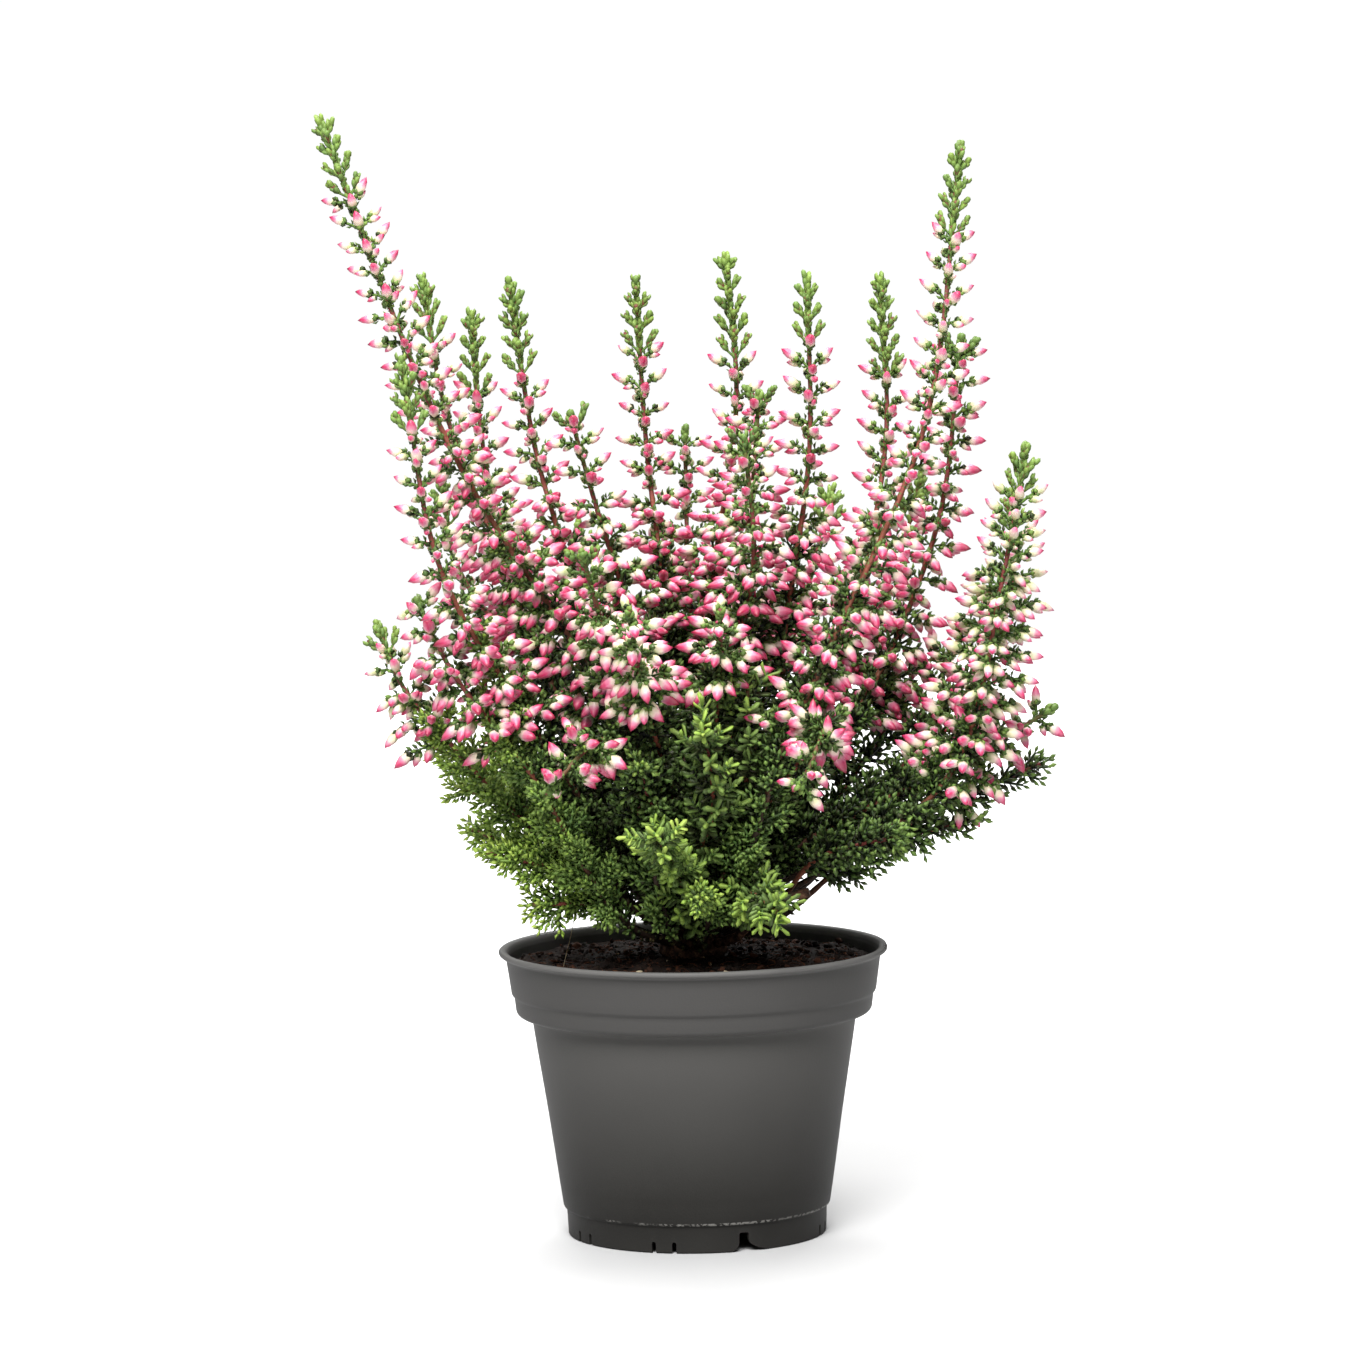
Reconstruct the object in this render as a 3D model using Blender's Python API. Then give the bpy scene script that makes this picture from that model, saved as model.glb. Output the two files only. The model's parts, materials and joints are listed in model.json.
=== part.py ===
"""A bud-blooming heather in its plastic nursery pot.

The origin is on the pot's axis, on the surface that the pot stands on, with +Z up. The plant leans its showiest
side to -Y. Every size below is in millimetres, and each object is scaled to metres as it is finished.
"""

import math
import random

import bmesh
import bpy
import numpy as np
from mathutils import Vector
from mathutils.kdtree import KDTree

MM = 0.001
TURN = 2 * math.pi
GAP = 0.3  # between any two pieces that touch

# The pot, a common 9 cm round: radius and height of each turn of its wall
SIDES = 30
WALL = 0.8
LIP_RADIUS = 45.0
LIP_WIDTH = 1.8
POT_HEIGHT = 66.5
COLLAR_FOOT = (42.1, 56.6)
COLLAR_HEAD = (43.4, 64.6)
LEDGE = (41.1, 53.0)
WALL_HEAD = (37.4, 50.8)
WALL_FOOT = (30.9, 6.6)
FOOT_HEAD = (30.2, 6.0)
FOOT_RADIUS = 29.9
FLOOR_UNDERSIDE = 4.5
FLOOR_TOP = 5.3

# Openings in the foot and the floor
NOTCH = (4.0, 4.3)  # width and height of the two large notches in the foot ring
NOTCH_HEADINGS = (-69, 111)  # degrees round from +X
SLIT = (1.0, 2.6)
SLIT_PAIR_SPREAD = 4.6  # degrees from the middle of a pair to each slit
SLIT_PAIR_HEADINGS = (-150, -105, -15, 30, 75, 165)
DRAIN_RADIUS = 3.2
DRAIN_RING = 18.0
DRAINS = 5

# The peat, and the woody crown that stands in a plain hole in it
SOIL_EDGE = 62.8
SOIL_SEAT = 64.2
SOIL_ROUGHNESS = 0.9
CROWN_RADIUS = 8.0
CROWN_NECK = 4.0
CROWN_HOLE = 4.6
CROWN_DEPTH = 11.0

# Stems, buds and leaves
STEM_AT_ROOT = 0.8
STEM_AT_TIP = 0.5
ROOT_SPACING = 2.35
ROOT_RISE = 0.5  # how much more steeply a stem leaves the crown than it goes on
ROOT_RUN = 9.0  # how far from the crown it keeps to that
LOWEST_ROOT = 0.25  # the least upward share of the way that a stem leaves the crown
STEM_SPACING = 2.3  # near the crown, from middle to middle
SPRAY_SPACING = 5.5  # the same where the stems have spread out
SPREAD_OUT = 45.0  # distance along a stem at which that holds
ROUTE_STEP = 2.5  # between the points at which neighbouring stems are bent clear of each other
WHORL_HEIGHT = 1.0  # of the ring of triangles that a whorl of leaves or buds is raised from
BARE_RINGS = 14.0  # spacing along a stem of the rings where nothing grows
BUD_WHORLS = 6.9  # spacing along a stem of the whorls, as for leaves and tips below
BUD_REACH = (6.6, 5.0)  # from the stem to a bud's point, at the bottom and the top of a spike
BUD_RADIUS = (1.45, 1.05)
BUD_BELLY = 0.56  # how far along its length a bud is widest
BUD_LIFT = (0, 48)  # degrees that a bud leans up along its stem
LEAF_WHORLS = 4.8
LEAF_REACH = 4.6
LEAF_LIFT = 42
TIP_WHORLS = 4.4
TIP_LEAF_REACH = 4.2
TIP_LEAF_LIFT = 52
FOOT_LEAVES = 12.0  # length of leafy stem below a spike's first buds
FOOT_LEAF_WHORLS = 5.5
SHOOT_BARE = 18.0  # length of bare stem at the foot of a leafy shoot

# Flowering stems: the tip, a point midway, the point where the buds begin, and the length of the green tip
SPIKES = (
    ((-82, -8, 258), (-50, -25, 178), (-21, -22, 129), 20),
    ((-61, 28, 221), (-56, 24, 191), (-39, 14, 146), 16),
    ((-63, -42, 205), (-54, -48, 156), (-38, -36, 126), 18),
    ((-50, 42, 212), (-47, 38, 176), (-35, 20, 136), 20),
    ((-40, 8, 220), (-34, 6, 179), (-24, 0, 145), 22),
    ((-26, -12, 190), (-21, -12, 171), (-13, -6, 143), 4),
    ((-11, 26, 220), (-9, 24, 180), (-5, 12, 141), 18),
    ((0, 52, 183), (0, 46, 158), (0, 24, 133), 3),
    ((10, 12, 225), (12, 12, 192), (6, 8, 151), 24),
    ((17, -4, 194), (15, -6, 171), (10, -4, 138), 4),
    ((13, -34, 186), (15, -34, 161), (11, -20, 134), 4),
    ((28, -18, 221), (28, -20, 182), (22, -16, 141), 16),
    ((46, 30, 219), (47, 28, 182), (38, 14, 143), 24),
    ((63, -22, 250), (52, -42, 184), (33, -46, 142), 22),
    ((64, 10, 205), (58, 12, 162), (42, 6, 125), 5),
    ((77, -20, 182), (71, -26, 152), (59, -22, 108), 12),
    ((75, 4, 170), (74, 0, 146), (57, 8, 117), 10),
    ((-71, -10, 143), (-65, -16, 129), (-52, -20, 114), 8),
    ((-61, -30, 150), (-53, -42, 135), (-38, -36, 114), 3),
    ((-23, -62, 162), (-20, -52, 149), (-11, -30, 120), 4),
    ((-13, -72, 150), (-11, -56, 134), (-6, -30, 108), 2),
    ((7, -58, 149), (7, -48, 139), (5, -26, 112), 3),
    ((65, 18, 133), (55, 16, 130), (37, 8, 118), 3),
    ((83, -8, 121), (71, -8, 114), (53, -8, 105), 3),
    ((-32, -58, 109), (-20, -50, 120), (-9, -30, 106), 2),
    ((24, -66, 110), (29, -56, 122), (18, -34, 106), 2),
    ((-58, 50, 172), (-55, 44, 154), (-34, 26, 126), 12),
    ((-26, 69, 160), (-23, 58, 140), (-13, 32, 119), 8),
    ((9, 71, 162), (8, 59, 143), (4, 33, 120), 8),
    ((35, 62, 168), (30, 54, 149), (18, 30, 123), 10),
    ((56, 46, 172), (50, 44, 152), (29, 26, 123), 12),
)

# Leafy shoots without buds: the tip and a point midway
SHOOTS = (
    ((-54, -12, 106), (-31, -10, 95)),
    ((-51, -5, 95), (-28, -5, 87)),
    ((-47, -24, 92), (-24, -15, 84)),
    ((-37, -18, 79), (-20, -12, 77)),
    ((-60, 8, 113), (-35, 6, 101)),
    ((3, -54, 123), (5, -38, 103)),
    ((13, -42, 130), (12, -30, 106)),
    ((-12, -51, 115), (-7, -31, 97)),
    ((-8, -56, 99), (-3, -31, 86)),
    ((19, -47, 80), (12, -31, 83)),
    ((2, -50, 84), (2, -28, 81)),
    ((81, -2, 108), (52, 0, 95)),
    ((65, -18, 97), (41, -12, 90)),
    ((47, -32, 95), (29, -21, 89)),
    ((51, 22, 122), (35, 13, 100)),
    ((-4, 30, 156), (-2, 18, 127)),
    ((-46, 54, 109), (-27, 30, 97)),
    ((-20, 62, 114), (-11, 35, 101)),
    ((9, 64, 112), (4, 36, 100)),
    ((40, 56, 114), (23, 31, 99)),
    ((62, 42, 104), (38, 25, 93)),
)

CUT_BRANCH = ((26.5, -18, 81), (15, -14, 78))  # its cut end and a point midway
CUT_BRANCH_RADIUS = 1.1

# Where a bud or leaf has no room, it is tried again raised or lowered by these degrees, and else left out
OTHER_LIFTS = (0, 14, -16, -30)
OWN_GAP = 0.05  # that it keeps to what else grows on its own stem
STEM_MARGIN = 0.1

# Colours, in linear light
PLASTIC = (0.043, 0.041, 0.040)
PEAT = (0.020, 0.012, 0.008)
OLD_WOOD = (0.085, 0.045, 0.030)
RED_WOOD = (0.130, 0.040, 0.030)
LEAF = (0.060, 0.130, 0.022)
PINK = (0.690, 0.100, 0.210)


def clear_scene():
    for old in list(bpy.data.objects):
        bpy.data.objects.remove(old, do_unlink=True)


def finish_of(name, colour, roughness=0.6, metallic=0.0):
    """A plain material of one colour."""
    material = bpy.data.materials.new(name)
    material.use_nodes = True
    shader = material.node_tree.nodes["Principled BSDF"]
    shader.inputs["Base Color"].default_value = (*colour, 1.0)
    shader.inputs["Roughness"].default_value = roughness
    shader.inputs["Metallic"].default_value = metallic
    material.diffuse_color = (*colour, 1.0)
    return material


def object_of(name, bm, finishes, sharp_over=40):
    """Turns a mesh in millimetres into a named object in metres."""
    bmesh.ops.triangulate(bm, faces=list(bm.faces))
    bmesh.ops.scale(bm, vec=Vector((MM, MM, MM)), verts=list(bm.verts))
    mesh = bpy.data.meshes.new(name)
    bm.to_mesh(mesh)
    bm.free()
    for finish in finishes:
        mesh.materials.append(finish)
    mesh.shade_smooth()
    mesh.set_sharp_from_angle(angle=math.radians(sharp_over))
    made = bpy.data.objects.new(name, mesh)
    bpy.context.scene.collection.objects.link(made)
    return made


def turned(profile, sides=SIDES):
    """The closed surface that a profile of (radius, height) sweeps, from the axis to the axis again."""
    bm = bmesh.new()
    line = [bm.verts.new((radius, 0, height)) for radius, height in profile]
    edges = [bm.edges.new(pair) for pair in zip(line, line[1:])]
    bmesh.ops.spin(
        bm, geom=line + edges, cent=(0, 0, 0), axis=(0, 0, 1), angle=TURN, steps=sides, use_merge=True
    )
    bmesh.ops.remove_doubles(bm, verts=list(bm.verts), dist=0.001)
    bmesh.ops.recalc_face_normals(bm, faces=list(bm.faces))
    return bm


# The pot


def inward(point, by):
    return (point[0] - by, point[1])


def pot_profile():
    """Under the floor, down and up round the foot, up the wall to the lip, and back down the inside."""
    top = POT_HEIGHT
    return [
        (0, FLOOR_UNDERSIDE),
        (FOOT_RADIUS - WALL, FLOOR_UNDERSIDE),
        (FOOT_RADIUS - WALL, 0),
        (FOOT_RADIUS, 0),
        FOOT_HEAD,
        WALL_FOOT,
        WALL_HEAD,
        (LEDGE[0] - 1.2, WALL_HEAD[1] + 0.4),
        LEDGE,
        COLLAR_FOOT,
        COLLAR_HEAD,
        (LIP_RADIUS, top - 1.1),
        (LIP_RADIUS, top - 0.4),
        (LIP_RADIUS - 0.4, top),
        (LIP_RADIUS - LIP_WIDTH, top),
        inward(COLLAR_HEAD, WALL),
        inward(COLLAR_FOOT, WALL),
        (LEDGE[0] - WALL, LEDGE[1] + WALL / 2),
        (LEDGE[0] - 1.9, WALL_HEAD[1] + 0.4 + WALL),
        inward((WALL_HEAD[0], WALL_HEAD[1] + WALL), WALL),
        (WALL_FOOT[0] - WALL - 0.2, FLOOR_TOP),
        (0, FLOOR_TOP),
    ]


def cut_foot(heading, size, collection):
    """A box across the foot ring from below, for a notch or a slit of this width and height."""
    width, height = size
    below = 1.0
    across = 4.0
    bm = bmesh.new()
    bmesh.ops.create_cube(bm, size=1.0)
    bmesh.ops.scale(bm, vec=(across * MM, width * MM, (height + below) * MM), verts=list(bm.verts))
    place_cutter("foot_cutter", bm, FOOT_RADIUS, heading, (height - below) / 2, collection)


def cut_drain(radius, heading, collection):
    bm = bmesh.new()
    bmesh.ops.create_cone(
        bm,
        cap_ends=True,
        segments=8,
        radius1=DRAIN_RADIUS * MM,
        radius2=DRAIN_RADIUS * MM,
        depth=4 * (FLOOR_TOP - FLOOR_UNDERSIDE) * MM,
    )
    place_cutter("drain_cutter", bm, radius, heading, (FLOOR_TOP + FLOOR_UNDERSIDE) / 2, collection)


def place_cutter(name, bm, radius, heading, height, collection):
    mesh = bpy.data.meshes.new(name)
    bm.to_mesh(mesh)
    bm.free()
    cutter = bpy.data.objects.new(name, mesh)
    angle = math.radians(heading)
    cutter.location = (radius * math.cos(angle) * MM, radius * math.sin(angle) * MM, height * MM)
    cutter.rotation_euler.z = angle
    cutter.hide_render = True
    cutter.display_type = "WIRE"
    collection.objects.link(cutter)


def make_pot():
    pot = object_of("pot", turned(pot_profile()), [finish_of("pot_plastic", PLASTIC, 0.45)])
    cutters = bpy.data.collections.new("pot_cutters")
    bpy.context.scene.collection.children.link(cutters)
    for heading in NOTCH_HEADINGS:
        cut_foot(heading, NOTCH, cutters)
    for middle in SLIT_PAIR_HEADINGS:
        for heading in (middle - SLIT_PAIR_SPREAD, middle + SLIT_PAIR_SPREAD):
            cut_foot(heading, SLIT, cutters)
    cut_drain(0, 0, cutters)
    for index in range(DRAINS):
        cut_drain(DRAIN_RING, index * 360 / DRAINS, cutters)
    cut = pot.modifiers.new("openings", "BOOLEAN")
    cut.operation = "DIFFERENCE"
    cut.operand_type = "COLLECTION"
    cut.collection = cutters
    cut.solver = "EXACT"


# The soil and the crown


def soil_profile():
    """From the axis under the soil, up beside the pot, over the top and down to the bottom of the hole."""
    side = GAP + 0.15
    return [
        (0, FLOOR_TOP + GAP),
        (WALL_FOOT[0] - WALL - 0.2 - side, FLOOR_TOP + GAP),
        (WALL_HEAD[0] - WALL - side, WALL_HEAD[1] + WALL + side),
        (LEDGE[0] - 1.9 - GAP, WALL_HEAD[1] + 0.4 + WALL + side),
        (LEDGE[0] - WALL - side, LEDGE[1] + 1.1),
        (COLLAR_FOOT[0] - WALL - 2 * side, COLLAR_FOOT[1] + GAP),
        (COLLAR_HEAD[0] - WALL - 2 * side, SOIL_EDGE),
        (34.0, SOIL_EDGE + 0.3),
        (22.0, SOIL_EDGE + 0.8),
        (CROWN_RADIUS + 2, SOIL_SEAT),
        (CROWN_HOLE, SOIL_SEAT),
        (CROWN_HOLE, SOIL_SEAT - CROWN_DEPTH),
        (0, SOIL_SEAT - CROWN_DEPTH),
    ]


def make_soil():
    bm = turned(soil_profile())
    crumbs = random.Random("crumbs of peat")
    for vert in bm.verts:
        out = math.hypot(vert.co.x, vert.co.y)
        if vert.co.z > SOIL_EDGE - 0.1 and out > CROWN_RADIUS + 3:
            vert.co.z += crumbs.uniform(-1, 1) * SOIL_ROUGHNESS
            if out < COLLAR_FOOT[0] - 4:
                vert.co.x += crumbs.uniform(-1, 1)
                vert.co.y += crumbs.uniform(-1, 1)
    object_of("soil", bm, [finish_of("peat", PEAT, 0.95)], sharp_over=20)


def crown_middle():
    """The centre of the crown's dome."""
    return Vector((0, 0, SOIL_SEAT + GAP + 0.6))


def make_crown():
    base = SOIL_SEAT + GAP
    middle = crown_middle().z
    dome = [
        (CROWN_RADIUS * math.cos(rise), middle + CROWN_RADIUS * math.sin(rise))
        for rise in (TURN / 4 * step / 4 for step in range(4))
    ]
    profile = [
        (0, SOIL_SEAT - CROWN_DEPTH + GAP),
        (CROWN_NECK, SOIL_SEAT - CROWN_DEPTH + GAP),
        (CROWN_NECK, base),
        (CROWN_RADIUS - 0.8, base),
        *dome,
        (0, middle + CROWN_RADIUS),
    ]
    object_of("root_crown", turned(profile, 12), [finish_of("crown_wood", OLD_WOOD, 0.85)], 60)


# The routes of the stems


def smooth_line(points, step):
    """Points every step along a curve through the given ones, its bends spread by the distances between."""
    spans = [(end - start).length for start, end in zip(points, points[1:])]
    slopes = [(end - start) / span for start, end, span in zip(points, points[1:], spans)]
    ways = [slopes[0]]
    for first, second, near, far in zip(slopes, slopes[1:], spans, spans[1:]):
        ways.append((first * far + second * near) / (near + far))
    ways.append(slopes[-1])
    dense = []
    for start, end, leaving, arriving, span in zip(points, points[1:], ways, ways[1:], spans):
        pieces = max(2, int(span / 0.5))
        for index in range(pieces):
            t = index / pieces
            rise = 3 * t**2 - 2 * t**3
            dense.append(
                start.lerp(end, rise)
                + leaving * span * (t**3 - 2 * t**2 + t)
                + arriving * span * (t**3 - t**2)
            )
    dense.append(points[-1])
    return even_line(dense, step)


def even_line(dense, step):
    """The same line with its points at even distances."""
    travelled = [0.0]
    for first, second in zip(dense, dense[1:]):
        travelled.append(travelled[-1] + (second - first).length)
    count = max(4, round(travelled[-1] / step))
    line = []
    at = 0
    for index in range(count + 1):
        wanted = travelled[-1] * index / count
        while at < len(dense) - 2 and travelled[at + 1] < wanted:
            at += 1
        share = (wanted - travelled[at]) / max(travelled[at + 1] - travelled[at], 1e-9)
        line.append(dense[at].lerp(dense[at + 1], min(share, 1.0)))
    return line


def root_directions(targets):
    """A direction out of the crown for each stem, near the way it goes but clear of its neighbours."""
    directions = []
    for target in targets:
        way = target - crown_middle()
        directions.append((way + Vector((0, 0, ROOT_RISE * way.xy.length))).normalized())
    apart = ROOT_SPACING / CROWN_RADIUS
    for _ in range(400):
        for i, first in enumerate(directions):
            for j in range(i + 1, len(directions)):
                between = first - directions[j]
                if between.length < apart:
                    push = between.normalized() * (apart - between.length) * 0.5
                    first = first + push
                    directions[j] = (directions[j] - push).normalized()
            first.z = max(first.z, LOWEST_ROOT)
            directions[i] = first.normalized()
    return directions


def lines_of_stems():
    """One line for each stem: the spikes, the shoots and the cut branch, all bent clear of each other."""
    ways = [[Vector(low), Vector(mid), Vector(tip)] for tip, mid, low, _ in SPIKES]
    ways += [[Vector(mid), Vector(tip)] for tip, mid in SHOOTS]
    ways.append([Vector(CUT_BRANCH[1]), Vector(CUT_BRANCH[0])])
    lines = []
    for way, direction in zip(ways, root_directions([way[0] for way in ways])):
        root = crown_middle() + direction * (CROWN_RADIUS + GAP)
        out = crown_middle() + direction * (CROWN_RADIUS + ROOT_RUN)
        lines.append(smooth_line([root, out, *way], ROUTE_STEP))
    return bent_clear(lines)


def spacing_at(distance):
    share = min(distance / SPREAD_OUT, 1.0)
    return STEM_SPACING + (SPRAY_SPACING - STEM_SPACING) * share


def bent_clear(lines, rounds=70):
    """Pushes neighbouring stems apart bit by bit, with their roots held and their bends kept smooth."""
    start = [[point.copy() for point in line] for line in lines]
    for _ in range(rounds):
        tree = KDTree(sum(len(line) for line in lines))
        places = [(i, j) for i, line in enumerate(lines) for j in range(len(line))]
        for number, (i, j) in enumerate(places):
            tree.insert(lines[i][j], number)
        tree.balance()
        moves = [[Vector() for _ in line] for line in lines]
        for number, (i, j) in enumerate(places):
            wanted = spacing_at(j * ROUTE_STEP)
            for point, other, distance in tree.find_range(lines[i][j], wanted):
                if places[other][0] == i or distance < 1e-6:
                    continue
                moves[i][j] += (lines[i][j] - point) / distance * (wanted - distance) * 0.35
        for i, line in enumerate(lines):
            shifts = [line[j] + moves[i][j] - start[i][j] for j in range(len(line))]
            for _ in range(4):
                middle = zip(shifts, shifts[1:], shifts[2:])
                shifts[1:-1] = [a * 0.25 + b * 0.5 + c * 0.25 for a, b, c in middle]
            for j in range(2, len(line)):
                freedom = min((j - 1) / 5, 0.97)
                line[j] = start[i][j] + shifts[j] * freedom
    return lines


class Route:
    """A stem's line with a steady pair of side directions, so that what grows on it doesn't twist."""

    def __init__(self, line):
        self.line = smooth_line(line, 0.5)
        self.step = (self.line[1] - self.line[0]).length
        self.length = self.step * (len(self.line) - 1)
        self.along = [
            (self.line[min(i + 1, len(self.line) - 1)] - self.line[max(i - 1, 0)]).normalized()
            for i in range(len(self.line))
        ]
        chord = self.line[-1] - self.line[len(self.line) // 3]
        across = Vector((0, 1, 0)).cross(chord.normalized())
        if across.length < 0.3:
            across = Vector((1, 0, 0))
        self.side = []
        for tangent in self.along:
            across = (across - tangent * across.dot(tangent)).normalized()
            self.side.append(across)

    def at(self, distance):
        """The point at this distance from the root, the way the stem runs there, and its two sides."""
        place = min(max(distance / self.step, 0), len(self.line) - 1.001)
        index = int(place)
        point = self.line[index].lerp(self.line[index + 1], place - index)
        tangent = self.along[index]
        side = self.side[index]
        return point, tangent, side, tangent.cross(side)


# What has grown so far, so that each new bud or leaf keeps clear of it


class Room:
    def __init__(self, most=40000):
        self.middles = np.zeros((most, 3))
        self.radii = np.zeros(most)
        self.owners = np.zeros(most, int)
        self.is_stem = np.zeros(most, bool)
        self.used = 0

    def take(self, spheres, owner, is_stem=False):
        for middle, radius in spheres:
            self.middles[self.used] = middle
            self.radii[self.used] = radius
            self.owners[self.used] = owner
            self.is_stem[self.used] = is_stem
            self.used += 1

    def is_free(self, root, spheres, owner):
        """Whether these spheres are clear, leaving out the stem's own stretch at the root."""
        middles = self.middles[: self.used]
        owned = self.owners[: self.used] == owner
        own_root = owned & self.is_stem[: self.used]
        own_root &= np.linalg.norm(middles - np.array(root), axis=1) < 2.2
        gaps = np.where(owned, OWN_GAP, GAP)
        for number, (middle, radius) in enumerate(spheres):
            apart = np.linalg.norm(middles - np.array(middle), axis=1)
            clear = apart - self.radii[: self.used] - radius - gaps
            blocked = (clear < 0) & ~own_root
            if number == 0:
                blocked &= ~owned
            if blocked.any():
                return False
        return True


# What grows on a stem

WOOD_SLOT, LEAF_SLOT, BUD_SLOT = 0, 1, 2


class Stem:
    """A three-sided stem, whose buds and leaves are raised from the triangles of its own surface."""

    def __init__(self, number, route, room, root_radius=STEM_AT_ROOT, tip_radius=STEM_AT_TIP):
        self.number = number
        self.route = route
        self.room = room
        self.radii = (root_radius, tip_radius)
        self.bm = bmesh.new()
        self.last = None
        self.phase = 0.0

    def radius(self, distance):
        share = min(distance / self.route.length, 1.0)
        return self.radii[0] + (self.radii[1] - self.radii[0]) * share

    def ring(self, distance, phase):
        point, _, side, front = self.route.at(distance)
        radius = self.radius(distance)
        corners = [phase + TURN * corner / 3 for corner in range(3)]
        return [
            self.bm.verts.new(point + (side * math.cos(angle) + front * math.sin(angle)) * radius)
            for angle in corners
        ]

    def band(self, upper, slot=WOOD_SLOT):
        """Six triangles from the last ring to one turned on from it by up to 60 degrees."""
        low = self.last
        ups = [self.bm.faces.new((low[k], low[(k + 1) % 3], upper[k])) for k in range(3)]
        downs = [self.bm.faces.new((low[(k + 1) % 3], upper[(k + 1) % 3], upper[k])) for k in range(3)]
        self.last = upper
        for face in ups + downs:
            face.material_index = slot
        return ups, downs

    def start(self, phase=0.0):
        self.last = self.ring(0, phase)
        self.bm.faces.new(reversed(self.last))
        self.phase = phase

    def bare(self, begin, end):
        """Goes on with nothing growing, in rings that follow the stem's bends."""
        pieces = max(1, round((end - begin) / BARE_RINGS))
        for piece in range(1, pieces + 1):
            self.band(self.ring(begin + (end - begin) * piece / pieces, self.phase))

    def whorl(self, distance, slot=WOOD_SLOT):
        """Goes up to this distance and turns the stem's edge there, which leaves six even triangles."""
        self.phase += TURN / 12
        self.band(self.ring(distance - WHORL_HEIGHT / 2, self.phase), slot)
        self.phase += TURN / 6
        return self.band(self.ring(distance + WHORL_HEIGHT / 2, self.phase), slot)

    def close(self, slot):
        """Ends in a point at the tip of the route."""
        apex = self.bm.verts.new(self.route.line[-1])
        for corner in range(3):
            face = self.bm.faces.new((self.last[corner], self.last[(corner + 1) % 3], apex))
            face.material_index = slot

    def outward(self, face, distance, lift):
        """The way a bud or leaf leans from this triangle, raised towards the stem's tip by lift degrees."""
        point, tangent, _, _ = self.route.at(distance)
        away = face.calc_center_median() - point
        away = (away - tangent * away.dot(tangent)).normalized()
        return away * math.cos(math.radians(lift)) + tangent * math.sin(math.radians(lift))

    def clear_way(self, face, distance, lift, body):
        """The first way out of a triangle that leaves room for a body of (distance, radius), or None."""
        root = face.calc_center_median()
        for change in OTHER_LIFTS:
            way = self.outward(face, distance, lift + change)
            spheres = [(root + way * out, radius) for out, radius in body]
            if self.room.is_free(root, spheres, self.number):
                self.room.take(spheres, self.number)
                return way
        return None

    def bud(self, face, distance, reach, radius, lift):
        """A pointed bud on a tapering stalk."""
        belly = BUD_BELLY * reach
        shoulder = (belly + reach) / 2
        body = ((belly / 2, radius * 0.75), (belly, radius), (shoulder, radius * 0.6), (reach, 0.1))
        way = self.clear_way(face, distance, lift, body)
        if way:
            root = face.calc_center_median()
            grown = bmesh.ops.extrude_discrete_faces(self.bm, faces=[face])["faces"][0]
            round_out(grown, root + way * belly, way, radius)
            self.point_out(grown, root + way * reach, BUD_SLOT)

    def leaf(self, face, distance, reach, lift):
        """A needle-like leaf drawn out of a triangle."""
        body = ((reach * 0.25, 0.45), (reach * 0.6, 0.3), (reach, 0.1))
        way = self.clear_way(face, distance, lift, body)
        if way:
            self.point_out(face, face.calc_center_median() + way * reach, LEAF_SLOT)

    def point_out(self, face, tip, slot):
        """Draws a triangle out to a point."""
        poked = bmesh.ops.poke(self.bm, faces=[face])
        poked["verts"][0].co = tip
        for facet in poked["faces"]:
            facet.material_index = slot

    def leaves_round(self, distance, reach, lift, slot=WOOD_SLOT, most=6):
        ups, downs = self.whorl(distance, slot)
        for face in (ups + downs)[:most]:
            self.leaf(face, distance, reach, lift)


def round_out(face, middle, way, radius):
    """Moves a triangle's corners to an even ring about a bud's axis, each near its old side."""
    first = face.verts[0].co - middle
    first = (first - way * first.dot(way)).normalized()
    second = way.cross(first)
    turn = 1 if face.normal.dot(way) > 0 else -1
    for number, vert in enumerate(face.verts):
        angle = turn * number * TURN / 3
        vert.co = middle + (first * math.cos(angle) + second * math.sin(angle)) * radius


def mixed(pair, share):
    return pair[0] + (pair[1] - pair[0]) * share


def grow_spike(number, route, room, begin, green):
    """Leaves at the foot, then pairs of buds, each a quarter turn on from the last, then the green tip."""
    stem = Stem(number, route, room)
    stem.start()
    distance = begin - FOOT_LEAVES
    stem.bare(0, distance - FOOT_LEAF_WHORLS)
    while distance < begin - FOOT_LEAF_WHORLS / 2:
        stem.leaves_round(distance, LEAF_REACH, LEAF_LIFT, most=4)
        distance += FOOT_LEAF_WHORLS
    end = route.length - green
    while distance < end:
        share = (distance - begin) / max(end - begin, 1.0)
        ups, downs = stem.whorl(distance)
        reach = mixed(BUD_REACH, share)
        radius = mixed(BUD_RADIUS, share)
        lift = mixed(BUD_LIFT, share)
        for face in (ups[0], downs[1]):
            stem.bud(face, distance, reach, radius, lift)
        distance += BUD_WHORLS
    while distance < route.length - 1.5:
        stem.leaves_round(distance, TIP_LEAF_REACH, TIP_LEAF_LIFT, LEAF_SLOT, most=6)
        distance += TIP_WHORLS
    stem.close(LEAF_SLOT)
    return stem


def grow_shoot(number, route, room):
    stem = Stem(number, route, room)
    stem.start()
    stem.bare(0, SHOOT_BARE - LEAF_WHORLS)
    distance = SHOOT_BARE
    while distance < route.length - 1.5:
        stem.leaves_round(distance, LEAF_REACH, LEAF_LIFT)
        distance += LEAF_WHORLS
    stem.close(LEAF_SLOT)
    return stem


def grow_cut_branch(number, route, room):
    """A bare stub, cut off square."""
    stem = Stem(number, route, room, CUT_BRANCH_RADIUS, CUT_BRANCH_RADIUS * 0.9)
    stem.start()
    for share in (0.3, 0.6, 0.99):
        stem.phase += TURN / 12
        stem.band(stem.ring(route.length * share, stem.phase))
    stem.bm.faces.new(stem.last)
    return stem


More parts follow.
